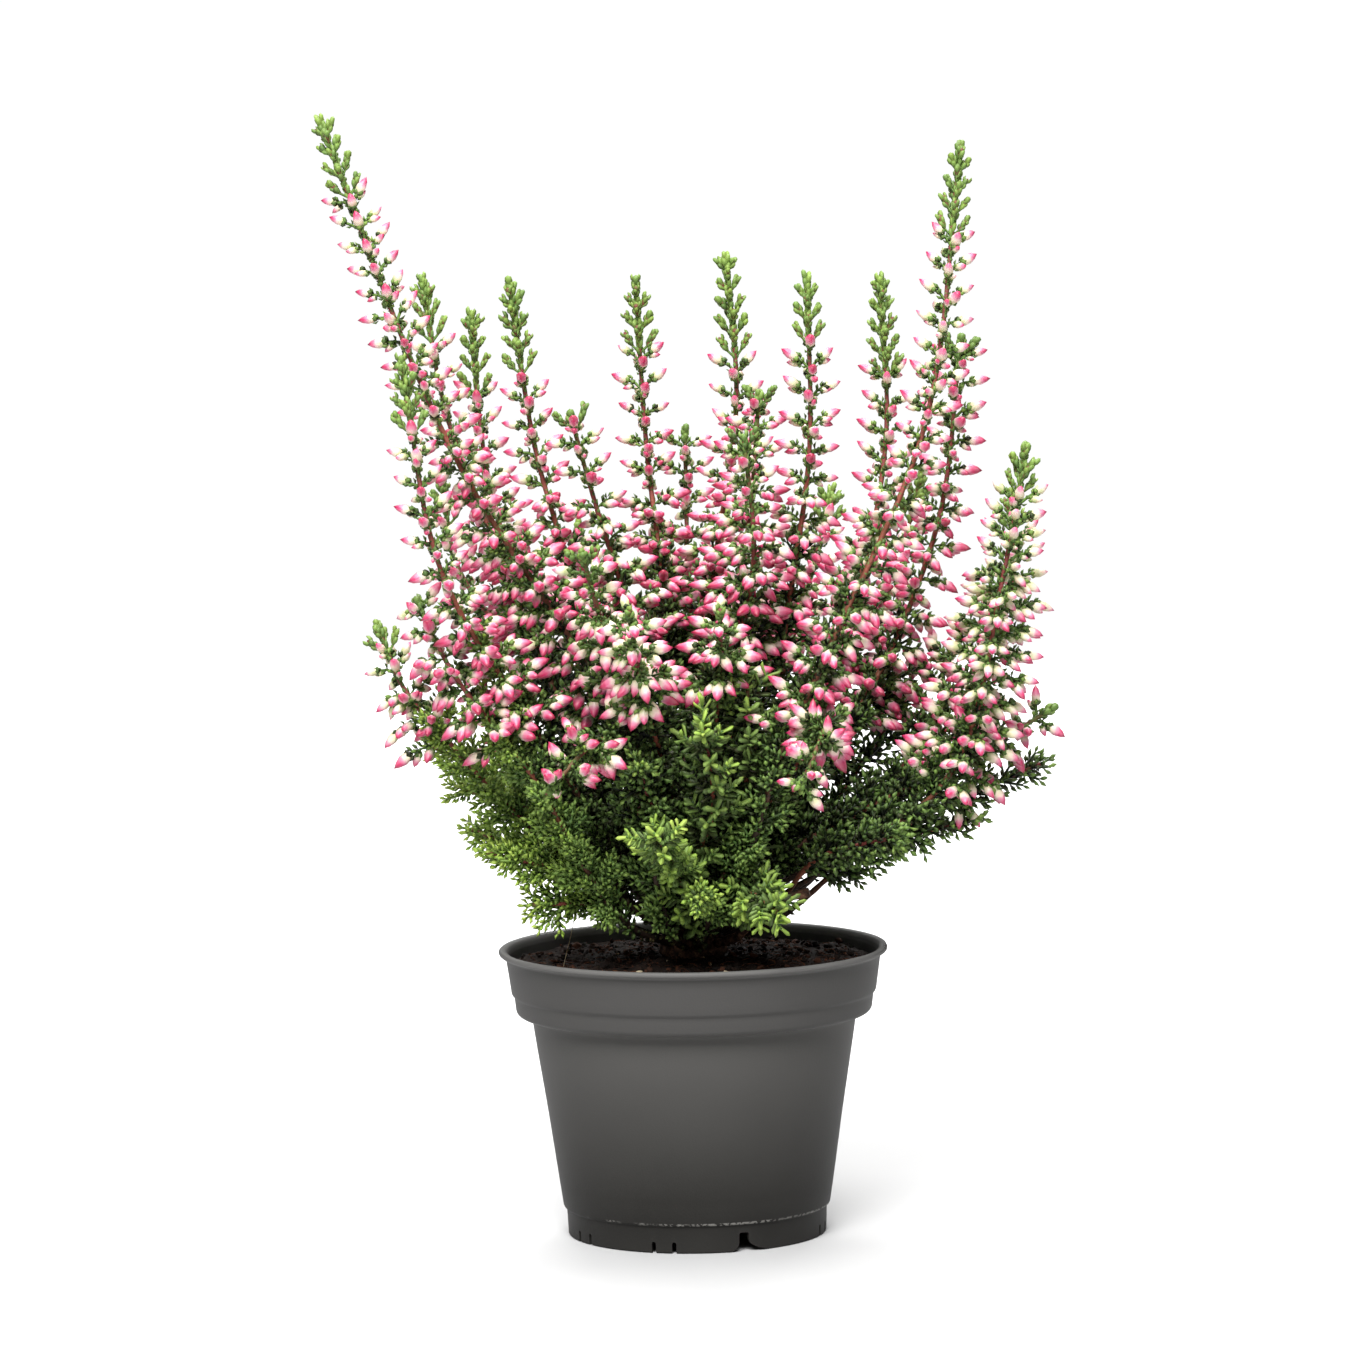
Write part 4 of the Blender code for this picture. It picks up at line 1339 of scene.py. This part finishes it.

# %% [markdown]
# ## Leafy twigs
#
# Heather leaves stand in pairs, each pair a quarter turn on from the last, so a twig looks like a small
# four-rowed feather. The rows could be drawn as one textured strip, but from the side their points make the
# outline, so each leaf is a shape of its own. Old leaves at the foot of a twig are dark, and the last few
# millimetres are this year's bright growth.
#
# Deep inside the plant, and under its lowest buds, leaves get little light: they are sparse there, and also
# painted much darker, as painted shade on top of the rendered shadows. The light that a place gets is told
# from where it is, and the leaves are painted darker on the right and lighter on the left. A gap low on the
# right stays clear, where a branch was once cut off.


# %% Chance and measure
def mixed(pair, share):
    return pair[0] + (pair[1] - pair[0]) * share


def eased(share, begin=0.0, end=1.0):
    """0 before begin and 1 after end, with a soft step between."""
    t = min(max((share - begin) / (end - begin), 0.0), 1.0)
    return t * t * (3 - 2 * t)


def across(way):
    """Two directions square to this one and to each other."""
    side = way.orthogonal().normalized()
    return side, way.cross(side).normalized()


def opposite(sides, angle):
    """The two directions of a pair that stands at this angle on both sides of a stem."""
    return [round_the(sides, angle + half) for half in (0, math.pi)]


def leaned(out, axis, lift):
    """A direction between out and axis, lift degrees up from out."""
    return round_the((out, axis), math.radians(lift))


PEAT_REACH, PEAT_TOP = 42.5, 65.6  # a little more than the peat's own
RIM_SPAN, RIM_TOP = (40, 46.5), 68.0  # and than the rim's


def in_pot(point):
    """Whether a point is in the peat or in the pot's wall."""
    out = point.xy.length
    in_rim = RIM_SPAN[0] < out < RIM_SPAN[1] and point.z < RIM_TOP
    return in_rim or (out < PEAT_REACH and point.z < PEAT_TOP)


# %% Daylight
CUSHION_RISE = (74, 116)  # the plant's leafy cushion widens between these heights,
CUSHION_REACH = (34, 66)  # from this far to this far
LIT_RIM = (0.36, 0.92)  # the shares of that between which it gets light
SHADED_RIGHT = (8, 34, 0.2)  # from where to where the light falls off, and to what
SUNNY_LEFT = (12, 40, 0.9)  # the same for what the left has more of
SHADES = (  # the middle, and the heights, distances and depths over which buds or stems take the light away
    (0, (96, 116), (26, 50), (-50, -32)),
    (-10, (92, 108), (9, 22), (-58, -44)),
)
GAP_ACROSS, GAP_UP, GAP_FRONT = (16, 30), (75, 82.5), -30
SEEN_LOWER = 0.17  # how much lower a point looks for each millimetre that it is nearer


# Painted shade and light: this number darkens the leaves' colour deep inside, under the buds and on the
# right, and lightens it on the left.
def daylight(point):
    """How well lit a point is: 0 deep inside or under the buds, 1 in front, and more on the sunny left."""
    reach = mixed(CUSHION_REACH, eased(point.z, *CUSHION_RISE))
    shade = max(
        eased(point.z, *heights) * (1 - eased(abs(point.x - middle), *widths)) * eased(point.y, *depths)
        for middle, heights, widths, depths in SHADES
    )
    right = mixed((1.0, SHADED_RIGHT[2]), eased(point.x, *SHADED_RIGHT[:2]))
    left = SUNNY_LEFT[2] * eased(-point.x, *SUNNY_LEFT[:2])
    return eased(point.xy.length / reach, *LIT_RIM) * (1 - shade) * (right + left)


def cleared(point):
    """Whether a point is in the gap low on the right, where a branch was cut and nothing grows."""
    across_it = GAP_ACROSS[0] < point.x < GAP_ACROSS[1]
    return across_it and GAP_UP[0] < point.z + SEEN_LOWER * point.y < GAP_UP[1] and point.y > GAP_FRONT


# %% Twig
LEAF_LENGTH = 2.7
LEAF_WIDTH = 0.44  # of its length
LEAF_PACE = 0.7  # between one pair and the next
LEAF_LIFT = (38, 56)  # in degrees, at a twig's foot and its point
FAN = 1.25  # how much longer and narrower the needles of the bright shoots are
FAN_DROP = 24  # and how much flatter they lie, in degrees for each unit of fan
DARK, LIME = 0.4, 0.9  # the ages of a leaf
# SHADED is painted shade: the age given to leaves that get little light.
SHADED = 0.2  # the age of one deep inside, which is darker than any other live one
FRESH = 3.8  # the length of the bright end
TWIG_PIECE = 5.0
FORK_PACE = 2.4
FORK_LENGTH = 3.8
SIDE_SHOOT = 4.4
LONG_EVERY = 3  # one pair of side shoots in so many is a long one with forks


def leaf_pair(growth, spot, axis, sides, angle, lift, length, age, shape, width=LEAF_WIDTH):
    """Two leaves on both sides of a twig. Their width is a share of their length."""
    luck = growth.luck
    for half in (0, math.pi):
        out = round_the(sides, angle + half + luck.uniform(-0.2, 0.2))
        way = leaned(out, axis, lift + luck.uniform(-7, 7))
        size = length * luck.uniform(0.85, 1.12)
        growth.put(shape, spot, way, axis, (size, size * width, size * width), luck.random(), age)


def leafy_twig(growth, root, way, rise, length, lime, shape, forked=False):
    """A side shoot that bends towards rise, dark at its foot and lime at its point, with forks of its own."""
    luck = growth.luck
    bend = rise * (length * 0.3)

    def at(share):
        return root + way * (length * share) + bend * (share * share)

    if in_pot(at(1.0)) or in_pot(at(0.6)) or cleared(at(1.0)) or cleared(at(0.3)):
        return
    lit = daylight(at(0.7))
    shown = min(lit, 1.0)
    fan = FAN if shape == "needle" else 1.0
    # Painted shade and light: where daylight() is low the leaves are darker and their ends less lime, and on
    # the sunny left they are lighter.
    dark = mixed((SHADED, DARK), lit)
    green = lime * mixed((0.35, 1.0), lit)
    pieces = max(1, round(length / TWIG_PIECE))
    for piece in range(pieces):
        thick = mixed((0.7, 0.5), piece / pieces)
        growth.rod(at(piece / pieces), at((piece + 1) / pieces), rise, thick, dark, 1.04)
    pace = LEAF_PACE * mixed((1.6, 1.0), shown)
    count = max(2, round(length / pace))
    angle = luck.uniform(0, TURN)
    for number in range(1, count + 1):
        share = number / count
        axis = (way + bend * (2 * share / length)).normalized()
        fresh = eased(length * (1 - share), FRESH, 0.3)
        age = mixed((dark + mixed((-0.05, 0.08), share), LIME), fresh * green) + luck.uniform(-0.04, 0.04)
        lift = mixed(LEAF_LIFT, share**3) - (fan - 1) * FAN_DROP
        size = LEAF_LENGTH * fan * mixed((1.2, 1.0), shown) * mixed((0.95, 0.85), share**4)
        spot, turn = at(share * 0.96), angle + number * TURN / 4
        leaf_pair(growth, spot, axis, across(axis), turn, lift, size, age, shape, LEAF_WIDTH / fan)
    if not forked:
        return
    for number in range(1, int(length / FORK_PACE)):
        share = number * FORK_PACE / length
        turn = angle + number * TURN / 4 + luck.uniform(-0.4, 0.4)
        for out in opposite(across(way), turn):
            small = FORK_LENGTH * mixed((1.0, 0.7), share) * luck.uniform(0.7, 1.2)
            fork_way = leaned(out, way, luck.uniform(36, 52))
            leafy_twig(growth, at(share), fork_way, way, small, lime * 0.8, shape)


# %% [markdown]
# ## Buds
#
# A bud hangs on a short leafy stalk, its foot held in a cup of small dark bracts. Stalks stand in opposite
# pairs, each pair a quarter turn on, 3.3 mm apart up the stem. Each bears one full bud, and up to three
# smaller, paler ones beside it. Near the top they are young, small and upright; lower down they ripen and
# hang.

# %% Bud cluster
NODE_PACE = 3.3
STALK = (5.4, 3.2)  # at the bottom and the top of a spike, as for the pairs below
KNEE = 0.6  # how far along a stalk it bends outwards
BUD_LENGTH = (5.2, 4.0)
FULLNESS = (0.5, 0.62)
BUD_LIFT = (-14, 36)
RIPENESS = (0.52, 0.24)
SIDE_BUDS = ((2, 2, 3), (1, 2, 2), (1, 1, 2), (0, 1, 1))  # how many, from the bottom quarter to the top one
SPRAYED = 0.5  # the share of a spike, from the bottom, whose side shoots bear several buds each
SPRAY_REACH = (8.5, 5.0)
SPRAY_PACE = 4.2
BRACTS = 4
STALK_PAIRS = 3


def bracts(growth, foot, way, length, width, age):
    """A cup of small blunt leaves that hugs a bud's foot."""
    sides = across(way)
    luck = growth.luck
    start = luck.uniform(0, TURN)
    for number in range(BRACTS):
        out = round_the(sides, start + TURN * number / BRACTS)
        size = length * luck.uniform(0.34, 0.44)
        spot = foot - way * (length * 0.1) + out * (width * 0.2)
        size_of = (size, width * 0.62, width * 0.4)
        growth.put("bract", spot, leaned(out, way, 66), way, size_of, luck.random(), age)


def ripeness(luck, share, ripe_shift):
    """How ripe the buds are at this share of the way up a spike's budded part."""
    return mixed(RIPENESS, eased(share, 0.25, 1.0)) + ripe_shift + luck.uniform(-0.18, 0.18)


def bud(growth, foot, way, length, ripe, fullness=0.52):
    luck = growth.luck
    width = length * fullness * luck.uniform(0.92, 1.08)
    growth.put("bud", foot, way, across(way)[0], (length, width, width * 0.95), luck.random(), ripe)
    bracts(growth, foot, way, length, width, DARK + luck.uniform(-0.12, 0.12))


def bud_stalk(growth, root, out, axis, share, ripe_shift, full):
    """A leafy stalk with its buds, on the side of the stem that faces out."""
    luck = growth.luck
    stalk = mixed(STALK, share) * full * luck.uniform(0.85, 1.15)
    length = mixed(BUD_LENGTH, share) * luck.uniform(0.86, 1.12)
    lift = mixed(BUD_LIFT, share) + luck.uniform(-12, 12)
    ripe = ripeness(luck, share, ripe_shift)
    climb = leaned(out, axis, 50)
    knee = root + climb * (stalk * KNEE)
    way = leaned(out, axis, lift)
    end = knee + way * (stalk * (1 - KNEE))
    for start, stop in ((root, knee), (knee, end)):
        growth.rod(start, stop, axis, 0.8, DARK + 0.06, 1.1)
    turn = luck.uniform(0, TURN)
    for number in range(STALK_PAIRS):
        place = (number + 0.6) / STALK_PAIRS
        past = (place - KNEE) / (1 - KNEE)
        spot = root.lerp(knee, place / KNEE) if place < KNEE else knee.lerp(end, past)
        size = mixed((2.3, 1.8), share)
        age = DARK + luck.uniform(-0.12, 0.12)
        leaf_pair(growth, spot, climb, across(climb), turn + number * TURN / 4, 46, size, age, "bract", 0.55)
    bud(growth, end, way, length, ripe, mixed(FULLNESS, share))
    sideways = way.cross(axis).normalized()
    for _ in range(luck.choice(SIDE_BUDS[min(int(share * len(SIDE_BUDS)), len(SIDE_BUDS) - 1)])):
        turn = luck.uniform(-1, 1)
        lean = (way + sideways * (turn * 0.9) - axis * luck.uniform(0.1, 0.7)).normalized()
        spot = root.lerp(knee, luck.uniform(0.7, 1.0))
        small = length * luck.uniform(0.55, 0.85)
        bud(growth, spot + lean * 0.9, lean, small, ripe - 0.12 * luck.random(), mixed(FULLNESS, share))


# %% [markdown]
# Low on a spike the side shoots are longer and bear five buds or more each, which is what makes a spike so
# much wider and denser there. The buds turn out and down, so their pink points face whoever looks at it.

# %% Bud spray
SPRAY_PLACES = (0.45, 0.75)  # where on a spray its pairs of buds stand
MISSING_BUD = 0.16  # the chance that one of them isn't there


def bud_spray(growth, root, out, axis, share, ripe_shift, full):
    """A leafy side shoot with pairs of buds along its outer half and one at its end."""
    luck = growth.luck
    reach = mixed(SPRAY_REACH, share / SPRAYED / full) * full * luck.uniform(0.75, 1.15)
    climb = leaned(out, axis, luck.uniform(28, 46))
    droop = leaned(out, axis, -40)
    ripe = ripeness(luck, share, ripe_shift)

    def at(part):
        return root + climb * (reach * part * 0.75) + droop * (reach * part * part * 0.25)

    for part in (0.0, 0.5):
        growth.rod(at(part), at(part + 0.5), axis, 0.55, DARK, 1.05)
    leaves = max(3, round(reach / 1.4))
    turn = luck.uniform(0, TURN)
    for number in range(leaves):
        spot, angle = at((number + 0.5) / leaves), turn + number * TURN / 4
        leaf_pair(growth, spot, climb, across(climb), angle, 40, 2.3, DARK - 0.04, "bract", 0.5)
    sideways = climb.cross(axis).normalized()
    for part in SPRAY_PLACES:
        for side in (-1, 1):
            if luck.random() < MISSING_BUD:
                continue
            fall = axis * luck.uniform(-0.1, 0.7)
            way = out * luck.uniform(0.5, 1.0) + sideways * side * luck.uniform(0.5, 1.1) - fall
            way.normalize()
            length = mixed(BUD_LENGTH, share) * luck.uniform(0.72, 1.05)
            foot = at(part) + way * luck.uniform(0.8, 1.8)
            growth.put("green_stick", at(part), way, axis, (2.0, 0.45, 0.45), 0.5, DARK + 0.1)
            bud(growth, foot, way, length, ripe + luck.uniform(-0.14, 0.08))
    way = leaned(out, axis, luck.uniform(-30, 12))
    bud(growth, at(1.0), way, mixed(BUD_LENGTH, share) * luck.uniform(0.95, 1.15), ripe)


# %% [markdown]
# ## Green tips
#
# The top of a spike hasn't opened any buds. Its side shoots are still short clubs of packed scale leaves,
# bright green, with a dull brownish middle at their blunt end.

# %% Club and tip
CLUB_PACE = 2.5
CLUB_STALK = (2.3, 0.7)  # at the foot and the end of the green tip, as for its length
CLUB_LENGTH = (4.4, 2.6)
CLUB_WIDTH = 2.0
TIP_AGE = 0.54


def club(growth, root, way, length, width, age):
    """A blunt shoot of four rows of hugging scale leaves, wider towards its end."""
    luck = growth.luck
    sides = across(way)
    growth.put("club", root, way, sides[0], (length * 0.92, width * 0.7, width * 0.7), luck.random(), 0.86)
    rows = max(2, round(length / 1.15))
    angle = luck.uniform(0, TURN)
    for row in range(rows):
        share = (row + 0.2) / rows
        spot = root + way * (length * share * 0.75)
        size = width * mixed((0.95, 1.1), share)
        fresh = age + mixed((-0.06, 0.06), share) + luck.uniform(-0.04, 0.04)
        leaf_pair(growth, spot, way, sides, angle + row * TURN / 4, 62, size, fresh, "scale", 0.72)


def scales_on_stem(growth, route, begin, end, age, pace, lift, length=2.1, shape="bract"):
    """Pairs of leaves that lie along the stem between one node and the next."""
    luck = growth.luck
    count = max(1, round((end - begin) / pace))
    for number in range(count):
        spot, tangent, sides = route.at(begin + (end - begin) * number / count)
        turn = number * TURN / 4 + TURN / 8 + luck.uniform(-0.3, 0.3)
        if not cleared(spot):
            leaf_pair(growth, spot, tangent, sides, turn, lift, length, age, shape, 0.52)


def green_tip(growth, route, begin, age):
    luck = growth.luck
    scales_on_stem(growth, route, begin, route.length - 1.0, age - 0.05, 1.3, 64, 2.3, "scale")
    count = max(0, round((route.length - begin - 2.5) / CLUB_PACE))
    for number in range(count):
        share = number / count
        spot, tangent, sides = route.at(begin + 0.5 + number * CLUB_PACE)
        turn = (number % 2) * TURN / 4 + luck.uniform(-0.3, 0.3)
        for out in opposite(sides, turn):
            way = leaned(out, tangent, luck.uniform(40, 54))
            stalk = mixed(CLUB_STALK, share)
            growth.put("green_stick", spot, way, tangent, (stalk + 0.8, 0.7, 0.7), 0.5, age - 0.1)
            size = mixed(CLUB_LENGTH, share) * luck.uniform(0.85, 1.1)
            width = CLUB_WIDTH * luck.uniform(0.85, 1.1)
            fresh = age + luck.uniform(-0.05, 0.05)
            club(growth, spot + way * stalk, leaned(out, tangent, 60), size, width, fresh)
    top, tangent, _ = route.at(route.length - 3.4)
    club(growth, top, tangent, 4.2, CLUB_WIDTH * 1.15, age + 0.03)


# %% Stem
STEM_RING = 2.2
KNUCKLE = 0.12


def stem_tube(growth, route, thick, ages):
    """A knuckled stem from the crown to the tip, going from wood to green."""
    count = max(6, round(route.length / STEM_RING))
    shares = np.linspace(0, 1, count)
    places = [route.at(share * (route.length - 0.5)) for share in shares]
    centres, _, sides_of = zip(*places)
    swell = [1 + KNUCKLE * (number % 2) for number in range(count)]
    radii = [mixed(thick, share) * bulge for share, bulge in zip(shares, swell)]
    tube(growth, centres, sides_of, radii, np.interp(shares, (0, 1), ages), 6, growth.luck.random())


# %% [markdown]
# ## Flower spikes
#
# From the crown up, a spike is bare for a finger's width, then leafy with side twigs that make the plant's
# dark cushion, then budded, then green. Spikes whose tip is short are side branches that bud to the end.

# %% Flower spikes
BARE_FOOT = 13.0
TWIG_PACE = 2.8
FIRST_DEAD_LEAF = 5.0
SPIKE_STEM = ((0.75, 0.45), (0.12, 0.92))  # its thickness and its age, each at the root and the tip
LOW_TWIGS = ((9.0, 8.0), TWIG_PACE, 0.45)  # lengths at both ends, pace and lime, below the buds
BUDDED_TWIGS = ((6.5, 4.0), 5.5, 0.3)  # and among the lowest buds,
BUDDED_SHARE = 0.3  # which are this share of all
LONG_TIP = 6  # a spike with a shorter green tip is a side branch, and riper up to its end
BUDS_BELOW = 6.0  # how far below the third point of a spike its first buds stand
# Where it isn't so, as millimetres further down, or up where negative
FIRST_BUD = {
    1: 2, 3: -2, 5: -2, 8: -6, 9: 6, 10: -6, 11: -10, 12: -6, 13: 6, 14: 20, 18: -10, 19: -11,
    20: -21, 21: -34, 22: -30, 23: -14, 24: -18, 25: -30, 26: -28, 27: -9, 28: -14, 29: -20,
    30: -6, 31: -8,
}
# How much riper the buds of a spike are than most, and how much fuller the spike is
RIPER = {
    6: -0.06, 8: -0.06, 14: -0.1, 15: 0.04, 16: -0.3, 17: -0.3, 18: -0.16, 20: -0.12, 21: -0.14,
    27: 0.05,
}
FULLER = {1: 1.15, 16: 1.5, 17: 1.5, 18: 1.2}


def twigs_along(growth, route, span, lengths, pace, lime, shape="plain_needle", long_every=LONG_EVERY):
    """Opposite pairs of leafy twigs, with leaves on the stem between them."""
    luck = growth.luck
    begin, end = span
    distance = begin
    number = luck.randint(0, 1)
    while distance < end:
        share = (distance - begin) / max(end - begin, 1.0)
        spot, tangent, sides = route.at(distance)
        turn = number * TURN / 4 + luck.uniform(-0.5, 0.5)
        is_long = number % long_every == 0
        for out in opposite(sides, turn):
            way = leaned(out, tangent, luck.uniform(34, 54))
            length = (mixed(lengths, share) if is_long else SIDE_SHOOT) * luck.uniform(0.7, 1.15)
            fresh = lime * mixed((0.6, 1.25), share * share) * luck.uniform(0.7, 1.0)
            leafy_twig(growth, spot, way, tangent, length, fresh, shape, is_long and long_every > 1)
        # Painted shade: the leaves on the stem are darker where daylight() is low.
        age = mixed((SHADED, DARK), daylight(spot))
        scales_on_stem(growth, route, distance, min(distance + pace, end), age, 1.2, 52)
        distance += pace * luck.uniform(0.85, 1.15)
        number += 1


def dead_leaves(growth, route, end):
    """A few withered brown leaves still hanging near the crown."""
    luck = growth.luck
    distance = FIRST_DEAD_LEAF
    while distance < end:
        spot, tangent, sides = route.at(distance)
        turn, lift, age = luck.uniform(0, TURN), luck.uniform(-10, 50), luck.uniform(0.0, 0.05)
        leaf_pair(growth, spot, tangent, sides, turn, lift, 2.0, age, "plain_needle")
        distance += luck.uniform(0.9, 1.8)


def flowers_along(growth, route, begin, end, number, green):
    """Opposite pairs of bud sprays, and of single stalks above them."""
    luck = growth.luck
    full = FULLER.get(number, 1.0)
    distance = begin
    node = 0
    while distance < end:
        share = (distance - begin) / max(end - begin, 1.0) * (1.0 if green > LONG_TIP else 0.75)
        spot, tangent, sides = route.at(distance)
        turn = (node % 2) * TURN / 4 + luck.uniform(-0.25, 0.25)
        sprayed = share < SPRAYED * full
        pace = (SPRAY_PACE if sprayed else NODE_PACE) / full
        for out in opposite(sides, turn):
            grow = bud_spray if sprayed else bud_stalk
            grow(growth, spot, out, tangent, share, RIPER.get(number, 0.0), full)
        scales_on_stem(growth, route, distance + 0.6, min(distance + pace, end), DARK - 0.02, 1.5, 74)
        distance += pace
        node += 1


def make_spike(number, route, low, green):
    growth = Growth(random.Random(f"spike {number}"))
    stem_tube(growth, route, *SPIKE_STEM)
    begin = route.nearest(Vector(low)) - BUDS_BELOW - FIRST_BUD.get(number, 0)
    end = route.length - green
    dead_leaves(growth, route, BARE_FOOT + 3)
    twigs_along(growth, route, (BARE_FOOT, begin), *LOW_TWIGS)
    twigs_along(growth, route, (begin, mixed((begin, end), BUDDED_SHARE)), *BUDDED_TWIGS)
    flowers_along(growth, route, begin, end, number, green)
    green_tip(growth, route, end, TIP_AGE if green > LONG_TIP else TIP_AGE - 0.1)
    name = f"flower_spike_{number:02d}"
    mesh = mesh_of(f"{name}_fine", *growth.laid_out())
    piece_of(f"{name}_fine", mesh, plant_finishes, name)


for number, (route, (_, _, low, green)) in enumerate(zip(routes, SPIKES), 1):
    make_spike(number, route, low, green)
spike_triangles = sum(count for name, count in made_triangles.items() if "spike" in name)
print("flower spikes:", len(SPIKES), "with", spike_triangles, "triangles")

# %% [markdown]
# ## Leafy shoots
#
# The shoots without buds spread low over the rim like feathers. Those in front have the brightest ends, their
# lime painted brighter still as painted light, and their needles are longer and lie flatter. The ones at the
# right, and one under the buds, are painted darker as painted shade.

# %% Leafy shoots
# How lime its ends are, where its leaves begin, and how long its side twigs are near the root and the tip.
# Lime above 1 in front is painted light; the low lime of shoot 8, under the buds, and of those on the right
# is painted shade.
SHOOT_LOOKS = {
    1: (0.9, 22, 5.5, 5.0),
    2: (0.9, 22, 5.5, 5.0),
    3: (1.0, 20, 8.0, 8.5),
    4: (1.0, 16, 8.0, 6.5),
    5: (0.8, 24, 9.0, 5.0),
    6: (1.02, 14, 9.0, 6.5),
    7: (1.02, 14, 9.0, 6.5),
    8: (0.7, 12, 9.0, 6.0),
    9: (1.15, 8, 9.0, 7.0),
    10: (1.15, 8, 8.5, 6.5),
    11: (1.0, 8, 6.0, 4.0),
    12: (0.4, 42, 6.0, 4.0),
    13: (0.7, 36, 7.0, 4.5),
    14: (0.8, 24, 8.5, 6.0),
    15: (0.6, 14, 8.0, 6.0),
}
BACK_LOOK = (0.55, 14, 8.5, 6.0)
SHOOT_STEM = ((0.75, 0.4), (0.1, 0.85))
# The leaf, the pace of the side twigs, and how often one is long
USUAL_WAY = ("plain_needle", 2.5, LONG_EVERY)
BRIGHT_WAY = ("needle", 4.0, 1)


def make_shoot(number, route):
    growth = Growth(random.Random(f"shoot {number}"))
    lime, bare, low, high = SHOOT_LOOKS.get(number, BACK_LOOK)
    stem_tube(growth, route, *SHOOT_STEM)
    dead_leaves(growth, route, min(bare + 2, 20))
    shape, pace, long_every = BRIGHT_WAY if lime > 1 else USUAL_WAY
    twigs_along(growth, route, (bare, route.length - 3), (low, high), pace, lime, shape, long_every)
    top, tangent, _ = route.at(route.length - 4.5)
    leafy_twig(growth, top, tangent, tangent, 4.6, lime, shape)
    name = f"leafy_shoot_{number:02d}"
    mesh = mesh_of(f"{name}_fine", *growth.laid_out())
    piece_of(f"{name}_fine", mesh, plant_finishes, name)


for number, route in enumerate(routes[len(SPIKES):-1], 1):
    make_shoot(number, route)
print("all pieces:", len(made_triangles), "with", sum(made_triangles.values()), "triangles")
print("largest:", max(made_triangles.items(), key=lambda pair: pair[1]))

# %% [markdown]
# ## The size, before and after
#
# The dressed plant has to keep the frame's size, so both boxes are written down and compared.

# %% Sizes
dressed_box = [list(corner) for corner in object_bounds()]
for axis, label in enumerate("XYZ"):
    low = (dressed_box[0][axis] - frame_box[0][axis]) / MM
    high = (dressed_box[1][axis] - frame_box[1][axis]) / MM
    print(label, "low end moved", round(low, 1), "mm, high end moved", round(high, 1), "mm")
